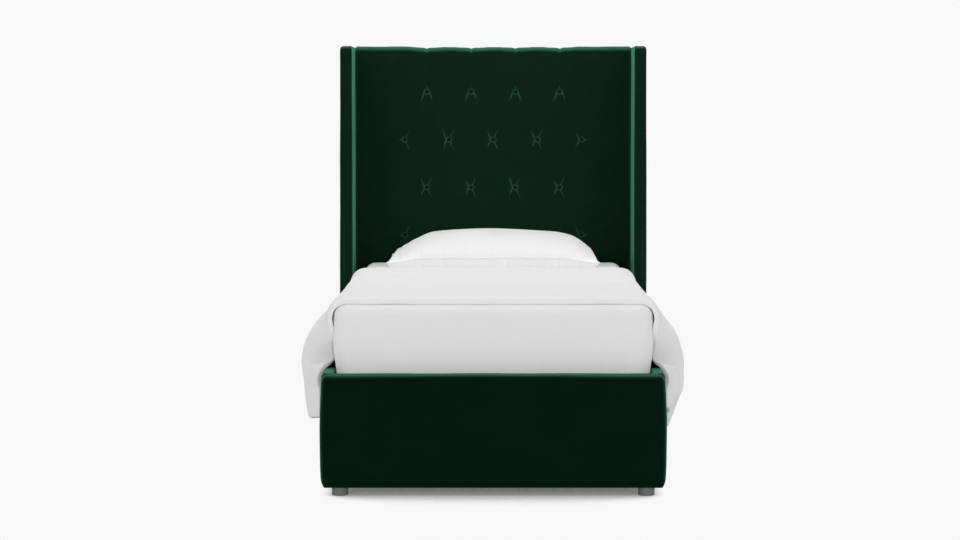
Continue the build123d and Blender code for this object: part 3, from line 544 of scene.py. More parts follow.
def tuft_depth(x, h):
    """How far the tufted face lies back at x and running height h, which goes on over the
    top edge. Each button has a steep round seat in a shallow valley, with slanting folds
    to its neighbours. Above the top row a short fold runs straight up, and below the last
    row a wider one down. The outermost buttons have two level folds out to the wings."""
    folds, soft = slanting_folds(x, h)
    for number, (bx, bz) in enumerate(tuft_rows[0]):
        up = h - bz
        off = x - bx - 0.0012 * np.sin(up * 30 + number)
        start = 0.0022 * bell(np.maximum(up - 0.011, 0), 0.009, 1.6) * bell(off, 0.0011, 1)
        folds = np.maximum(folds, smooth(up, 0.005, 0.011) * start)
        soft = np.maximum(soft, 0.0006 * smooth(up, 0.06, HEADBOARD_TOP - bz) * bell(off, 0.009, 1))
    wide_rows = [row for row in tuft_rows if len(row) == max(TUFT_ROWS)]
    for bx, bz in [row[end] for row in wide_rows for end in (0, -1)]:
        out = (x - bx) * math.copysign(1, bx)
        for level, strength in ((0.0048, 1.0), (-0.0056, 0.6)):
            off = h - bz - level * smooth(out, 0.01, 0.04)
            depth = strength * (0.0022 * bell(np.maximum(out - 0.011, 0), 0.011, 1.6) + 0.0003)
            folds = np.maximum(folds, smooth(out, 0.005, 0.011) * depth * bell(off, 0.0013, 1.2))
    for bx, bz in tuft_rows[-1]:
        folds = np.maximum(folds, smooth(bz - h, 0.005, 0.012) * 0.002 * bell(x - bx, 0.006, 1))
    dimple, valley = np.zeros_like(x), np.zeros_like(x)
    for bx, bz in tufts:
        away = np.hypot(x - bx, h - bz)
        seat = 0.0092 - 0.002 * smooth(bz - h, 0.001, 0.007)
        dimple = np.maximum(dimple, 0.0098 * bell(np.maximum(away - seat, 0), 0.0008, 1.1))
        valley = valley + 0.0009 * bell(away, 0.03)
    uneven = 0.0005 * (1 + ripple(x, h, 0.16, 3)) + 0.0002 * (1 + ripple(x, h, 0.05, 5))
    return np.maximum(dimple, folds) + soft + valley + uneven


def top_drop(x):
    """How much lower the top edge of the headboard lies at x: a soft dip with a narrow
    notch over each button of the top row, and a slight sag between the outer ones."""
    drop = -0.0009 + 0.0018 * (1 - smooth(np.abs(x), 0.25, 0.36))
    for bx, _ in tuft_rows[0]:
        dip = np.maximum(1 - ((x - bx) / 0.062) ** 2, 0) ** 0.8
        drop = drop + 0.0026 * dip + 0.0033 * bell(x - bx, 0.0068, 1.4)
    return drop


def make_tufted_pad(name, body):
    """The profile of the pad, front face, rounded top and back edge, run across the bed;
    each point then lies back by the tufting and by the rounded side edges."""
    low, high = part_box("headboard_tufted_pad")
    half, bottom, top, back = high.x, low.z, high.z, high.y
    front_round, back_round, side_round, ledge = 0.019, 0.006, 0.008, top - 0.012
    lowest_tuft = 0.6
    face = np.hstack([
        np.linspace(bottom, lowest_tuft, 21)[:-1],
        spread(lowest_tuft, top - front_round, [row[0][1] for row in tuft_rows], 0.026)])
    turn, back_turn = quarter(12)[1:], quarter(5)
    flat = np.linspace(PANEL_FACE_Y + front_round, back - back_round, 13)[1:-1]
    y, z, out_y, out_z = np.hstack([
        [0 * face + PANEL_FACE_Y, face, 0 * face - 1, 0 * face],
        [PANEL_FACE_Y + front_round * (1 - np.cos(turn) ** 1.25),
         top - front_round + front_round * np.sin(turn) ** 1.25, -np.cos(turn), np.sin(turn)],
        [flat, 0 * flat + top, 0 * flat, 0 * flat + 1],
        [back - back_round + back_round * np.sin(back_turn),
         top - back_round * (1 - np.cos(back_turn)), np.sin(back_turn), np.cos(back_turn)]])
    run = np.hstack([[0], np.cumsum(np.hypot(np.diff(y), np.diff(z)))]) + bottom
    straight = half - side_round
    edge = straight + side_round * np.sin(quarter(6))[1:]
    x = np.hstack([-edge[::-1], spread(-straight, straight, {bx for bx, _ in tufts}, 0.0145),
                   edge])
    grid_x, grid_h = np.meshgrid(x, run, indexing="ij")
    depth = tuft_depth(grid_x, grid_h) * (1 - 0.8 * smooth(np.abs(grid_x), half - 0.02, half))
    keep = 1 - smooth(grid_h, run[-1] - 0.02, run[-1])
    round_back = rounded(side_round, np.abs(grid_x) - straight)
    depth = depth * keep + round_back * np.where(grid_h < run[-6], 1, keep)
    points = grid_of(grid_x, y - out_y * depth, z - out_z * depth)
    points[..., 2] -= top_drop(grid_x) * smooth(points[..., 2], top - 0.05, top - 0.004)
    tail = grid_of(x[:, None], [back, PLYWOOD_FACE_Y, PLYWOOD_FACE_Y], [ledge, ledge, bottom])
    piece = make_piece(name, [surface(np.hstack([points, tail]), wraps=True, ends=True)],
                       velvet_panel, body, ["headboard_tufted_pad"])


def make_buttons(name, body):
    """Covered buttons: a half round turned about its axis, a little gathered at the rim."""
    turn = np.linspace(0, 2 * np.pi, 48, endpoint=False)
    rise, rim = quarter(9), 0.0012
    radius = np.hstack([[0, BUTTON_RADIUS * 0.93], BUTTON_RADIUS * np.cos(rise) ** 0.75])
    out = np.hstack([[0, 0], rim + (BUTTON_HEIGHT - rim) * np.sin(rise)])[:, None]
    patches = []
    for number, (bx, bz) in enumerate(tufts):
        gather = 1 + 0.018 * np.cos(11 * turn + number) * bell(out - 0.002, 0.002)
        wide = radius[:, None] * gather
        points = grid_of(bx + wide * np.cos(turn), PANEL_FACE_Y + BUTTON_SEAT - out,
                         bz + wide * np.sin(turn))
        patches.append(surface(points, wraps=True))
    make_piece(name, patches, velvet_button, body, ["tuft_buttons"])


def make_back_cover(name, body):
    """Velvet stretched over the back: a flat grid that sinks a little between the boards."""
    low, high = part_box("headboard_back_cover")
    x, z = np.meshgrid(np.linspace(low.x, high.x, 70), np.linspace(low.z, high.z, 90),
                       indexing="ij")
    edge = np.minimum(np.minimum(x - low.x, high.x - x), np.minimum(z - low.z, high.z - z))
    sink = 0.0006 * smooth(edge, 0.0, 0.12) * (1 + ripple(x, z, 0.4, 11)) / 2
    piece = make_piece(name, [surface(grid_of(x, high.y - sink, z))], velvet_panel, body,
                       ["headboard_back_cover"])
    if piece.data.polygons[0].normal.y < 0:
        piece.data.flip_normals()
    thicken(piece, 0.0012)


# ---------------------------------------------------------------- padded covers

def cover_patch(round_it, outer, core, corner, top_roll, foot_roll, half_at, sink, sag):
    """A padded cover over a board, open underneath: from the inside of the rim, out and
    round the lower edge, up the sides, over the rounded top edge and in to the middle
    line of the top; then the box-shaped inside that holds the board. Its outer side sinks
    by one amount and its upper end sags by another."""
    (low, high), (core_low, core_high) = outer, core
    (centre, half), (core_centre, core_half) = plan(low, high), plan(core_low, core_high)
    inside = [loop(round_it, core_centre, core_half, inset, 0.0006, z) for inset, z in (
        (min(core_half), core_high.z), (0, core_high.z), (0, low.z))]
    start, end = low.z + foot_roll, high.z - top_roll
    levels = [(foot_roll * (1 - np.sin(turn)), low.z + foot_roll * (1 - np.cos(turn)))
              for turn in quarter(6)[:-1]]
    levels += [(0, start + (end - start) * share)
               for share in np.linspace(0, 1, int((high.z - low.z) / 0.012))]
    levels += [(top_roll * (1 - np.cos(turn)), high.z - top_roll * (1 - np.sin(turn)))
               for turn in quarter(8)[1:]]
    levels += [(top_roll + (min(half) - top_roll) * share, high.z)
               for share in np.linspace(0, 1, 7)[1:]]
    outside = np.array([loop(round_it, centre, half_at(z), inset, corner, z)
                        for inset, z in levels])
    outside = sunk(outside, sink(outside), wraps=True)
    outside[..., 2] -= sag(outside) * smooth(outside[..., 2], (low.z + high.z) / 2, high.z - 0.01)
    return surface(np.concatenate([np.array(inside), outside]), wraps=True)


def make_footboard(name, body):
    """Cover of the footboard: ends that swell a little, round corners, soft front edges."""
    low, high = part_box("footboard_cover")
    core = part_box("footboard_core")
    round_it = ring(110, 6, 6)
    _, cy, dx, dy = round_it
    end_pad = high.x - core[1].x
    top_roll = 0.024 * dx**2 + np.where(dy < 0, 0.012, 0.0015) * dy**2
    foot_roll = min(0.026, end_pad - 0.001) * dx**2 + np.where(dy < 0, 0.004, 0.0012) * dy**2
    heights = (low.z, 0.05, 0.08, 0.14, 0.2, 0.26, 0.302, 0.335, high.z)
    insets = (0.0034, 0.0020, 0.0006, -0.0003, -0.0007, 0.0006, 0.0024, 0.004, 0.005)

    def half_at(z):
        return (high.x - through(heights, insets, np.broadcast_to(z, cy.shape)),
                (high.y - low.y) / 2)

    def sink(points):
        x, _, z = np.moveaxis(points, -1, 0)
        lean = 0.0007 * (1 + ripple(x, z, 0.32, 21)) + 0.0002 * (1 + ripple(x, z, 0.07, 22))
        return lean * smooth(high.x - np.abs(x), 0.004, 0.06) * smooth(z, low.z, low.z + 0.03)

    def sag(points):
        ends = 0.0006 + 0.0028 * smooth(np.abs(points[..., 0]), 0.1, 0.46)
        return ends * smooth(high.y - points[..., 1], 0.01, 0.06)

    patch = cover_patch(round_it, (low, high), core, 0.008 - 0.004 * cy, top_roll, foot_roll,
                        half_at, sink, sag)
    piece = make_piece(name, [patch], velvet_base, body, ["footboard_cover"])


def make_wing(name, side, body):
    """Cover of one wing: a tall flat pad with a soft edge round its front and top. It
    grows a little thicker downwards, and inwards at its front."""
    low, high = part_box(f"wing_cover_{side}")
    turned = ring(60, 6, 6)
    round_it = np.array([-turned[1], turned[0], -turned[3], turned[2]])
    sign = 1 if side == "right" else -1
    dx, dy = round_it[2:]
    roll = np.where(dx * sign > 0, 0.019, 0.004) * dx**2 + np.where(dy < 0, 0.014, 0.004) * dy**2
    (middle_x, _), half = plan(low, high)

    def sink(points):
        x, y, z = np.moveaxis(points, -1, 0)
        lean = (0.0004 * (1 + ripple(x + y, z, 0.3, 31))
                + 0.00015 * (1 + ripple(x + y, z, 0.06, 32)))
        beside = sign * (x - middle_x)
        lip = 0.003 * smooth(-beside, 0.0203, 0.0212) * smooth(y - low.y, 0.11, 0.01)
        lip = lip * smooth(high.z - z, 0.002, 0.03)
        widen = 0.0036 * smooth(beside, 0.0, 0.018) * np.clip((1.27 - z) / 0.64, 0, 1.1)
        return lean * smooth(high.z - z, 0.0, 0.03) - widen - lip

    patch = cover_patch(round_it, (low, high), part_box(f"wing_core_{side}"), 0.0018, roll,
                        np.full(dx.shape, 0.002), lambda z: half, sink,
                        lambda points: np.full(points.shape[:2], 0.0018))
    piece = make_piece(name, [patch], velvet_wing, body, [f"wing_cover_{side}"])


def make_rail(name, side, body):
    """Cover of one side rail: its profile, which swells a little outwards and turns down
    inside, run along the bed."""
    low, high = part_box(f"side_rail_cover_{side}")
    core_low, core_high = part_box(f"side_rail_core_{side}")
    sign = 1 if side == "right" else -1
    inner, outer = sorted((abs(low.x), abs(high.x)))
    core_inner, core_outer = sorted((abs(core_low.x), abs(core_high.x)))
    lip, top, bottom, roll, tip, swell = high.z - 0.042, high.z, low.z, 0.012, 0.004, 0.0035
    z = np.linspace(bottom, top - roll, 26)
    swollen = swell * (1 - ((z - (bottom + top) / 2) / ((top - bottom) / 2)) ** 2)
    face = np.column_stack([outer - swell + swollen, z])
    turn = quarter(8)[1:]
    edge = np.column_stack([face[-1, 0] - roll * (1 - np.cos(turn)),
                            top - roll * (1 - np.sin(turn))])
    flat = np.column_stack([np.linspace(edge[-1, 0], inner + tip, 5)[1:-1], np.full(3, top)])
    turn = quarter(5)
    drop = np.column_stack([inner + tip * (1 - np.sin(turn)), top - tip * (1 - np.cos(turn))])
    inside = np.array([(inner, lip), (core_inner, lip), (core_inner, core_high.z),
                       (core_outer, core_high.z), (core_outer, bottom)])
    outside = np.vstack([face, edge, flat, drop])
    y = np.linspace(low.y, high.y, 124)[:, None]
    depth = 0.0006 * (1 + ripple(y, outside[:, 1], 0.3, 41 + sign))
    depth = depth * np.hstack([np.ones(len(face)),
                               np.linspace(1, 0.4, len(outside) - len(face))])
    outermost = np.arange(len(outside)) < len(face) + 4
    points = np.hstack([grid_of(sign * (outside[:, 0] - depth * outermost), y, outside[:, 1]),
                        grid_of(sign * inside[:, 0], y, inside[:, 1])])
    piece = make_piece(name, [surface(points, wraps=True, ends=True)], velvet_rail_painted_brighter, body,
                       [f"side_rail_cover_{side}"])


# ---------------------------------------------------------------- mattress and sheet

def barrel(z):
    """How far the side of the mattress has swelled at height z, from 0 to 1."""
    shares = (0.0, 0.18, 0.3, 0.45, 0.62, 0.8, 1.0)
    swelled = (0.0, 0.0, 0.4, 0.82, 1.0, 0.94, 0.6)
    return float(through(shares, swelled, [(z - DECK) / 0.254])[0])


def mattress_skin(round_it, inset, under, over_steps):
    """Closed lines, all moved in by the inset: from under the mattress out to its foot, up
    its barrel side, over its rounded top edge and in to the middle line of its top. Gives
    the points and the heights of the underside, of the end of the side and of the top."""
    bottom, top, roll, foot = DECK + 0.0002 + inset, MATTRESS_TOP - inset, TOP_ROLL - inset, 0.01
    past_middle = 0.49

    def level(z, more):
        half = (MATTRESS_HALF[0] - 0.009 + barrel(z) * 0.0115 - inset,
                MATTRESS_HALF[1] - 0.0015 + barrel(z) * 0.0035 - inset)
        return loop(round_it, (0, MATTRESS_CENTRE_Y), half, more, PLAN_CORNER, z)

    levels = [level(bottom, foot + reach) for reach in under]
    levels += [level(bottom + foot * (1 - math.cos(t)), foot * (1 - math.sin(t)))
               for t in quarter(5)[:-1]]
    levels += [level(z, 0) for z in np.linspace(bottom + foot, top - roll, 26)]
    levels += [level(top - roll * (1 - math.sin(t)), roll * (1 - math.cos(t)))
               for t in quarter(10)[1:]]
    levels += [level(top, roll + (past_middle - roll) * share)
               for share in np.linspace(0, 1, over_steps)[1:]]
    return np.array(levels), bottom, top - roll, top


def make_mattress(name, body):
    """The mattress: barrel sides, a rounded top edge, and quilting that sinks the top and
    the border in diamonds."""
    points, bottom, shoulder_z, top = mattress_skin(ring(150, 70, 8), 0.0016,
                                                    np.linspace(0.48, 0, 8), 40)
    x, y, z = np.moveaxis(points, -1, 0)
    quilt = 0.0028 * np.minimum(np.abs(np.sin(np.pi * (x + y) / 0.11)),
                                np.abs(np.sin(np.pi * (x - y) / 0.11))) ** 0.5
    on_top = smooth(z, shoulder_z, top)
    band = 0.0016 * np.abs(np.sin(np.pi * (z - bottom) / 0.06)) ** 0.5
    on_side = (1 - on_top) * smooth(z, bottom, bottom + 0.02)
    depth = on_top * (0.0028 - quilt) + on_side * (0.0016 - band)
    piece = make_piece(name, [surface(sunk(points, depth, wraps=True), wraps=True)], ticking,
                       body, ["mattress"])
    return piece


def make_sheet(name, body):
    """The fitted sheet: it follows the mattress, gathers a little towards its hem and at
    the corners, and turns under by a hem."""
    points, bottom, _, top = mattress_skin(ring(160, 80, 8), 0.0,
                                           np.linspace(0.088, 0, 7)[:-1], 46)
    x, y, z = np.moveaxis(points, -1, 0)
    along = np.where(np.abs(np.abs(x) - 0.48) < 0.03, y, x)
    corner = bell(np.abs(np.abs(x) - 0.47) + np.abs(np.abs(y - MATTRESS_CENTRE_Y) - 0.94), 0.09)
    low_share = 1 - smooth(z, bottom + 0.02, top - 0.06)
    gather = (1 + ripple(along, z * 0.12, 0.035, 51)) / 2
    folds = low_share * (0.0008 + 0.0022 * corner) * gather
    slow = 0.0004 * (1 + ripple(along, z, 0.22, 52)) * smooth(z, bottom, bottom + 0.03)
    points = sunk(points, -(folds + slow * (1 - smooth(z, top - 0.06, top - 0.01))), wraps=True)
    piece = make_piece(name, [surface(points, wraps=True)], sheet_cotton, body,
                       ["fitted_sheet"])
    thicken(piece, 0.0011)


# ---------------------------------------------------------------- duvet

DUVET_FRONT = -0.9475
DUVET_LONG = 1.31
RIM = 0.0088
# How far each side flares out and where its hem hangs, as shares at places along the duvet;
# the shares of the flare that are left at three heights down to the hem; and a phase.
FLARE = 0.042
DUVET_PLACES = (0.0, 0.07, 0.22, 0.45, 0.72, 1.0)
DUVET_SIDES = {
    -1: ((0.0, 0.62, 1.04, 0.6, 0.95, 0.55), (0.46, 0.38, 0.26, 0.6, 0.4, 0.6),
         (0.87, 0.83, 0.8), 61),
    1: ((0.0, 0.7, 0.95, 0.65, 0.9, 0.6), (0.72, 0.62, 0.0, 0.0, 0.4, 0.55),
        (0.99, 0.53, 0.12), 67),
}
# Side, place along the bed, lean and depth of the folds across the shoulders.
SHOULDER_FOLDS = ((-1, -0.36, 0.35, 0.011), (-1, 0.08, 0.5, 0.013), (1, -0.2, -0.3, 0.010),
                  (1, 0.1, 0.45, 0.014), (1, -0.62, 0.5, 0.006), (-1, -0.7, -0.4, 0.006))


def corner_in(y):
    """How much narrower the mattress is at y, round the corners of its plan."""
    return rounded(PLAN_CORNER, PLAN_CORNER - (y - MATTRESS_FRONT))


def front_drop(y):
    """How much lower the mattress is at y, over the rounded edge of its front."""
    return rounded(TOP_ROLL, TOP_ROLL - (y - MATTRESS_FRONT))


def shoulder(y, angle):
    """Half width and height of the mattress at y on its rounded side edge, from the flat
    top at 90 degrees to the side at 0."""
    half_x = MATTRESS_HALF[0]
    over = np.clip(PLAN_CORNER - (y - MATTRESS_FRONT), 0, PLAN_CORNER)
    x = half_x - corner_in(y) - TOP_ROLL * (1 - math.cos(angle))
    deep = PLAN_CORNER - np.hypot(np.maximum(x - (half_x - PLAN_CORNER), 0), over)
    return x, MATTRESS_TOP - rounded(TOP_ROLL, TOP_ROLL - deep)


def duvet_inside(y, flare, hem, front, tuck):
    """Points of the duvet's underside on one side, from the top of the mattress round its
    shoulder, over the rail and down to the hem, for each place y along the bed. At the
    front edge, where front is 1, it hugs the mattress. Tuck gives the shares of the flare
    that are left towards the hem."""
    loose_x, loose_z, radius = 0.453, MATTRESS_TOP - 0.0352, 0.036
    rail_x = 0.5285 - 0.004 * front
    knots = []
    for angle in np.radians((90, 67.5, 45, 22.5)):
        x, z = shoulder(y, angle)
        out, up = math.cos(angle), math.sin(angle)
        near = (x + 0.0012 * out + 0.011 * max(out - 0.5, 0), z + 0.0008)
        far = (loose_x + radius * out, loose_z + radius * up)
        knots.append([n * front + f * (1 - front) for n, f in zip(near, far)])
    for z, more, clear in ((0.5368, 0.1, 0.0075), (0.495, 0.66, 0.0026), (0.452, 1.36, 0.0012),
                           (0.41, 1.78, 0.0014)):
        near_x = MATTRESS_HALF[0] - 0.009 + 0.0115 * barrel(z) + clear - corner_in(y)
        far_x = 0.489 if z > 0.42 else 0.488
        knots.append((near_x * front + far_x * (1 - front) + more * flare, z))
    knots += [
        (0.505 - 0.0075 * front + 1.57 * flare, 0.3725 + 0.0045 * front),
        (0.519 - 0.008 * front + 1.25 * flare, 0.361 + 0.0055 * front),
        (rail_x + flare, 0.345),
        (rail_x + tuck[0] * flare, 0.29),
        (rail_x + tuck[1] * flare, (0.29 + hem) / 2),
        (rail_x + tuck[2] * flare, hem),
    ]
    return np.array([np.broadcast_arrays(*knot) for knot in knots])


def duvet_underside(rows, y):
    """One grid: up the left side from its hem, over the top of the mattress and down the
    right side, with soft folds and finer ones down the sides. Towards the foot end, the
    sides swing back below."""
    front = bell(y - y[0], 0.05, 1)
    run = np.array([0.0, 0.014, 0.028, 0.042, 0.0565, 0.099, 0.142, 0.184, 0.2265, 0.2445,
                    0.2615, 0.3165, 0.3635, 0.4105])
    share = np.linspace(0, 1, 86)
    hanging = smooth(share, 0.12, 0.85) * smooth(rows, 0.0, 0.05)[:, None]
    sides = {}
    for sign, (flares, hems, tuck, phase) in DUVET_SIDES.items():
        flare = FLARE * np.clip(through(DUVET_PLACES, flares, rows), 0, 1.05)
        hem = 0.15 + RIM + 0.12 * np.clip(through(DUVET_PLACES, hems, rows), 0, 1.1)
        knots = duvet_inside(y, flare, hem, front, tuck)
        line = through(run / run[-1], knots.transpose(0, 2, 1), share)
        x, z = line[..., 0].T, line[..., 1].T
        folds = np.sin(2 * np.pi * (rows[:, None] * 6.3 + 0.25 * share) + phase)
        finer = np.sin(2 * np.pi * (rows[:, None] * 14.5 - 0.3 * share) + 2 * phase)
        folds = 0.0035 * folds * (1 - 0.5 * smooth(share, 0.12, 0.85)) + 0.0018 * finer
        sides[sign] = grid_of(sign * (x + hanging * (folds + 0.003)), y[:, None], z)
    across = np.linspace(-1, 1, 96)[1:-1] * sides[1][:, :1, 0]
    height = MATTRESS_TOP + 0.0008 - front_drop(y)[:, None]
    inner = np.hstack([sides[-1][:, ::-1], grid_of(across, y[:, None], height), sides[1]])
    near_foot = np.clip(1 - (inner[..., 1] - y[0]) / 0.5, 0, 1)
    inner[..., 1] += 0.15 * smooth(inner[..., 2], 0.5, 0.3) * near_foot
    return inner


def duvet_thickness(inner, rows, y):
    """How thick the filled band is: full inside and thin to its edges, thinner round the
    shoulders of the mattress, slightly uneven, and sunk in a few folds."""
    run = np.hstack([np.zeros((len(y), 1)),
                     np.cumsum(np.linalg.norm(np.diff(inner, axis=1), axis=-1), axis=1)])
    from_hem = np.minimum(run, run[:, -1:] - run)
    from_end = np.minimum(rows, 1 - rows)[:, None] * DUVET_LONG
    fill = 1 - bell(np.minimum(from_hem, from_end), 0.05, 1)
    x, along, z = np.moveaxis(inner, -1, 0)
    side = np.abs(x)
    thick = 2 * RIM + 0.0108 * fill - 0.0105 * bell(side - 0.475, 0.034) * fill
    thick = thick - (0.0065 * bell(side - 0.475, 0.035) * smooth(z, 0.45, 0.55)
                     * bell(y[:, None] - DUVET_FRONT, 0.13, 1))
    thick = thick - (0.009 * bell(side - 0.489, 0.018) * smooth(z, 0.43, 0.51)
                     * smooth(along, -0.8, -0.45) * fill)
    on_top = 1 - smooth(side, 0.42, 0.5)
    thick = thick - fill * (on_top * 0.0022 * (1 + ripple(x, along, 0.26, 71))
                            + 0.0006 * (1 + ripple(x + z, along, 0.07, 72)))
    for way, place, lean, deep in SHOULDER_FOLDS:
        fold = bell(along - place - lean * (0.5 - z), 0.022, 1.3) * smooth(x * way, 0.44, 0.5)
        thick = thick - deep * fold * fill * (1 - 0.6 * smooth(0.3 - z, 0, 0.12))
    return np.maximum(thick, 0.006)


def make_duvet(name, body):
    """The duvet is a filled band across the bed. Its underside hugs the mattress, and the
    upper side lies a thickness outside it. Half-round strips close its four edges, and
    quarter-round fans its corners."""
    rows = np.linspace(0, 1, 160)
    rows = 0.5 * (1 - np.cos(np.pi * rows)) * 0.18 + rows * 0.82
    y = DUVET_FRONT + RIM + rows * (DUVET_LONG - 2 * RIM)
    inner = duvet_underside(rows, y)
    outer = sunk(inner, -duvet_thickness(inner, rows, y))
    x = inner[..., 0]
    gap = 0.0016 * (bell(x + 0.315, 0.05) + bell(x - 0.33, 0.055)) * bell(
        y[:, None] - DUVET_FRONT, 0.02, 1)
    inner[..., 2] += gap
    outer[..., 2] += gap * 0.6
    patches = [surface(inner), surface(outer)]
    across = (1 - np.cos(np.linspace(0, np.pi, 11))) / 2
    across = np.hstack([[0, 0.008], across[1:]])
    peak = 0.025
    bulge = np.where(across < peak, np.sqrt(across / peak),
                     np.sqrt(np.maximum(1 - ((across - peak) / (1 - peak)) ** 2, 0)))
    bulge[-1] = 0
    for edge, way in ((np.s_[0], (0, -1, 0)), (np.s_[-1], (0, 1, 0)),
                      (np.s_[:, 0], (0, 0, -1)), (np.s_[:, -1], (0, 0, -1))):
        low, high = inner[edge], outer[edge]
        reach = np.linalg.norm(high - low, axis=-1, keepdims=True) / 2
        strip = np.array([low + (high - low) * s + np.array(way) * reach * b
                          for s, b in zip(across, bulge)])
        if way[1] < 0:
            x, z, start = strip[..., 0], strip[..., 2], strip[:1, :, 1]
            hug = (1 - across[:, None]) * smooth(z, 0.385, 0.42)
            strip[..., 2] -= (hug * smooth(z, 0.5, 0.56)
                              * (front_drop(strip[..., 1]) - front_drop(start)))
            strip[..., 0] -= (hug * smooth(np.abs(x), 0.43, 0.475) * np.sign(x)
                              * (corner_in(strip[..., 1]) - corner_in(start)))
        patches.append(surface(strip))
    for row, column in ((0, 0), (0, -1), (-1, 0), (-1, -1)):
        low, high = inner[row, column], outer[row, column]
        reach = np.linalg.norm(high - low) / 2
        ways = [np.array([0, (2 * abs(row) - 1) * math.cos(a), -math.sin(a)]) for a in quarter(7)]
        fan = [[low + (high - low) * s + way * reach * b for s, b in zip(across, bulge)]
               for way in ways]
        patches.append(surface(np.array(fan)))
    piece = make_piece(name, patches, bed_cotton, body, ["duvet"], weld=0.00005)


# ---------------------------------------------------------------- pillow

def make_pillow(name, body):
    """Two sides over one outline, a rectangle with slightly drawn-in edges. Each side
    rises by a crown that falls off to the seam, with gathers that fade inwards; the seam
    drops a little at the ends. The lower side turns down steeply and lies flat."""
    low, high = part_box("pillow")
    centre_y, half_x, half_y = (low.y + high.y) / 2, (high.x - low.x) / 2, 0.254
    fine = np.linspace(-1, 1, 191)
    fine = np.sign(fine) * (1 - (1 - np.abs(fine)) ** 1.35)
    s, t = np.meshgrid(fine, fine[::2], indexing="ij")
    x = half_x * s * (1 - 0.02 * (1 - t**2))
    y = half_y * t * (1 - 0.03 * (1 - s**2))
    seam = 0.603 + 0.0185 * (1 - smooth(np.abs(s), 0.6, 1.0))
    places = (-1.0, -0.97, -0.91, -0.85, -0.8, -0.74, -0.68, -0.62, -0.56, -0.47, -0.32,
              -0.11, 0.15, 0.39, 0.54, 0.69, 0.75, 0.81, 0.87, 0.93, 0.985, 1.0)
    crowns = (0.0, 0.0195, 0.037, 0.0455, 0.0545, 0.0612, 0.0693, 0.0755, 0.079, 0.0825, 0.0865,
              0.0893, 0.0875, 0.0823, 0.079, 0.0745, 0.0725, 0.068, 0.0575, 0.042, 0.018, 0.0)
    along = through(places, crowns, s.ravel()).reshape(s.shape)
    edge = np.minimum(1 - np.abs(s), 1 - np.abs(t))
    rise = np.maximum(1 - np.abs(t) ** 2.3, 0) ** 0.62
    top = along * rise * (1 - 0.45 * np.abs(s * t) ** 5)
    round_seam = np.where(np.abs(s) > np.abs(t), t * half_y, s * half_x)
    pleat = 0.6 * (ripple(round_seam, 0, 0.028, 81) + ripple(round_seam, 0, 0.05, 82))
    top = top + 0.0034 * pleat * bell(edge, 0.09, 1) * (1 - bell(edge, 0.012, 1))
    top = top + 0.0016 * ripple(x, y, 0.17, 83) * smooth(edge, 0.02, 0.3)
    top = top - 0.003 * bell(x + 0.342, 0.008) * smooth(edge, 0.0, 0.1)
    ground, sew = low.z + 0.0004, 0.0016
    belly = 1 - np.maximum(1 - edge / 0.11, 0) ** 2.6
    gather = 0.011 * pleat * bell(edge, 0.08, 1) * smooth(edge, 0.0, 0.03)
    bottom = seam - sew - (seam - sew - ground) * belly + np.minimum(gather, 0.009)
    upper = grid_of(x, centre_y + y, seam + sew + np.maximum(top, 0))
    lower = grid_of(x, centre_y + y, np.maximum(bottom, ground))
    patches = [surface(lower), surface(upper)]
    for line in (np.s_[0], np.s_[-1], np.s_[:, 0], np.s_[:, -1]):
        a, b = lower[line], upper[line]
        middle = (a + b) / 2
        out = (middle - (0, centre_y, 0)) * (1, 1, 0)
        out = out / np.linalg.norm(out, axis=-1, keepdims=True)
        strip = [a, a * 0.5 + middle * 0.5 + out * 0.003, middle + out * 0.004,
                 b * 0.5 + middle * 0.5 + out * 0.003, b]
        patches.append(surface(np.array(strip)))
    piece = make_piece(name, patches, pillow_cotton, body, ["pillow"],
                       weld=0.00005)


# ---------------------------------------------------------------- the bed

make_tufted_pad("tufted_pad", "bed_frame")
make_buttons("velvet_buttons", "bed_frame")
make_back_cover("back_cover", "bed_frame")
make_footboard("footboard_pad", "bed_frame")
for side in ("left", "right"):
    make_wing(f"wing_pad_{side}", side, "bed_frame")
    make_rail(f"rail_pad_{side}", side, "bed_frame")
mattress_piece = make_mattress("quilted_mattress", "mattress_body")
make_sheet("cotton_sheet", "mattress_body")
make_duvet("cotton_duvet", "duvet_body")
make_pillow("cotton_pillow", "pillow_body")
finish_nodes()


# ---------------------------------------------------------------- room, light and camera

def seen_share(tree):
    """1 where the camera looks on directly, in a reflection or through glass, else 0."""
    path = add(tree, "ShaderNodeLightPath").outputs
    share = calc(tree, "MAXIMUM", path["Is Camera Ray"], path["Is Glossy Ray"])
    return calc(tree, "MAXIMUM", share, path["Is Transmission Ray"])


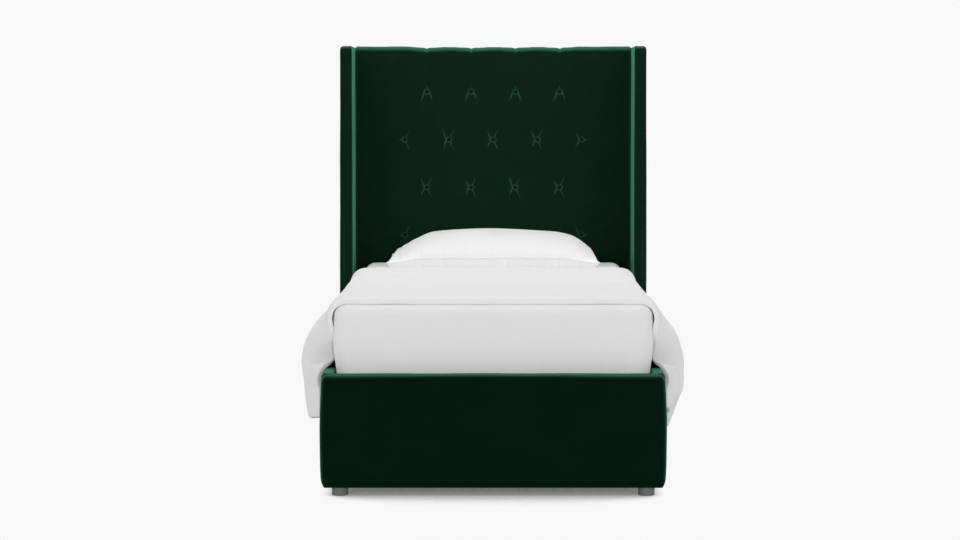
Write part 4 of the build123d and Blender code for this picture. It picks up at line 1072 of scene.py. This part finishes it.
def make_floor():
    """A pale floor out to the horizon. What the camera sees of it is as white as the
    backdrop, with a painted shadow only close under the bed, where little light can reach:
    the seen colour is an emission darkened by a ramp on the ambient occlusion there."""
    bpy.ops.mesh.primitive_plane_add(size=400)
    floor = bpy.context.object
    floor.name = "studio_floor"
    material = bpy.data.materials.new("studio floor")
    material.use_nodes = True
    tree = material.node_tree
    tree.nodes.clear()
    shade = add(tree, "ShaderNodeAmbientOcclusion", {"Distance": 1.0}, samples=16)
    ramp = add(tree, "ShaderNodeValToRGB", {"Fac": shade.outputs["AO"]})
    stops = ramp.color_ramp.elements
    stops[0].position, stops[0].color = 0.0, grey(0.095)
    stops[1].position, stops[1].color = 0.66, grey(BACKDROP)
    for place, tone in ((0.03, 0.25), (0.22, 0.27), (0.55, 0.42)):
        stops.new(place).color = grey(tone)
    # The painted shadow is kept to the bed's width and fades out beside it.
    under = eased(tree, calc(tree, "ABSOLUTE", along_axis(tree, "X")), 0.525, 0.455)
    shadow = mixed(tree, under, grey(BACKDROP), ramp.outputs["Color"])
    seen = add(tree, "ShaderNodeEmission", {"Color": shadow, "Strength": 1.0})
    lit = add(tree, "ShaderNodeBsdfDiffuse", {"Color": grey(0.82)})
    both = add(tree, "ShaderNodeMixShader",
               {0: seen_share(tree), 1: lit.outputs[0], 2: seen.outputs[0]})
    add(tree, "ShaderNodeOutputMaterial", {"Surface": both.outputs[0]})
    floor.data.materials.append(material)


def make_world():
    """Soft light from all round, behind which the camera sees the backdrop."""
    world = bpy.data.worlds.new("studio")
    bpy.context.scene.world = world
    world.use_nodes = True
    tree = world.node_tree
    tree.nodes.clear()
    soft = add(tree, "ShaderNodeBackground", {"Color": grey(1), "Strength": 0.55})
    white = add(tree, "ShaderNodeBackground", {"Color": grey(1), "Strength": BACKDROP})
    both = add(tree, "ShaderNodeMixShader",
               {0: seen_share(tree), 1: soft.outputs[0], 2: white.outputs[0]})
    add(tree, "ShaderNodeOutputWorld", {"Surface": both.outputs[0]})


def add_lamp(name, kind, power, towards, place=(0, 0, 0), **settings):
    """A lamp of the kind at a place, turned to shine in a direction."""
    lamp = bpy.data.lights.new(name, kind)
    lamp.energy = power
    for key, value in settings.items():
        setattr(lamp, key, value)
    holder = bpy.data.objects.new(name, lamp)
    bpy.context.scene.collection.objects.link(holder)
    holder.location = place
    holder.rotation_euler = Vector(towards).to_track_quat("-Z", "Y").to_euler()


make_floor()
make_world()
level, drop = math.cos(math.radians(20)), math.sin(math.radians(20))
for name, azimuth in (("left_light", -45), ("right_light", 45)):
    a = math.radians(azimuth)
    add_lamp(name, "SUN", 0.667, (-math.sin(a) * level, math.cos(a) * level, -drop),
             angle=math.radians(50))
add_lamp("head_light", "AREA", 24, (0, 0.1, -2.7), (0, 0.3, 3.3), size=1.6)

camera = bpy.data.cameras.new("camera")
camera.lens, camera.sensor_width = 89.82, 36.0
camera.shift_x = -0.01378
camera.clip_end = 1000
eye = bpy.data.objects.new("camera", camera)
eye.location = (0, -8.1463, 1.1815)
eye.rotation_euler = (math.radians(90 - 4.031), 0, 0)
bpy.context.scene.collection.objects.link(eye)
bpy.context.scene.camera = eye
bpy.context.scene.view_settings.view_transform = "Standard"
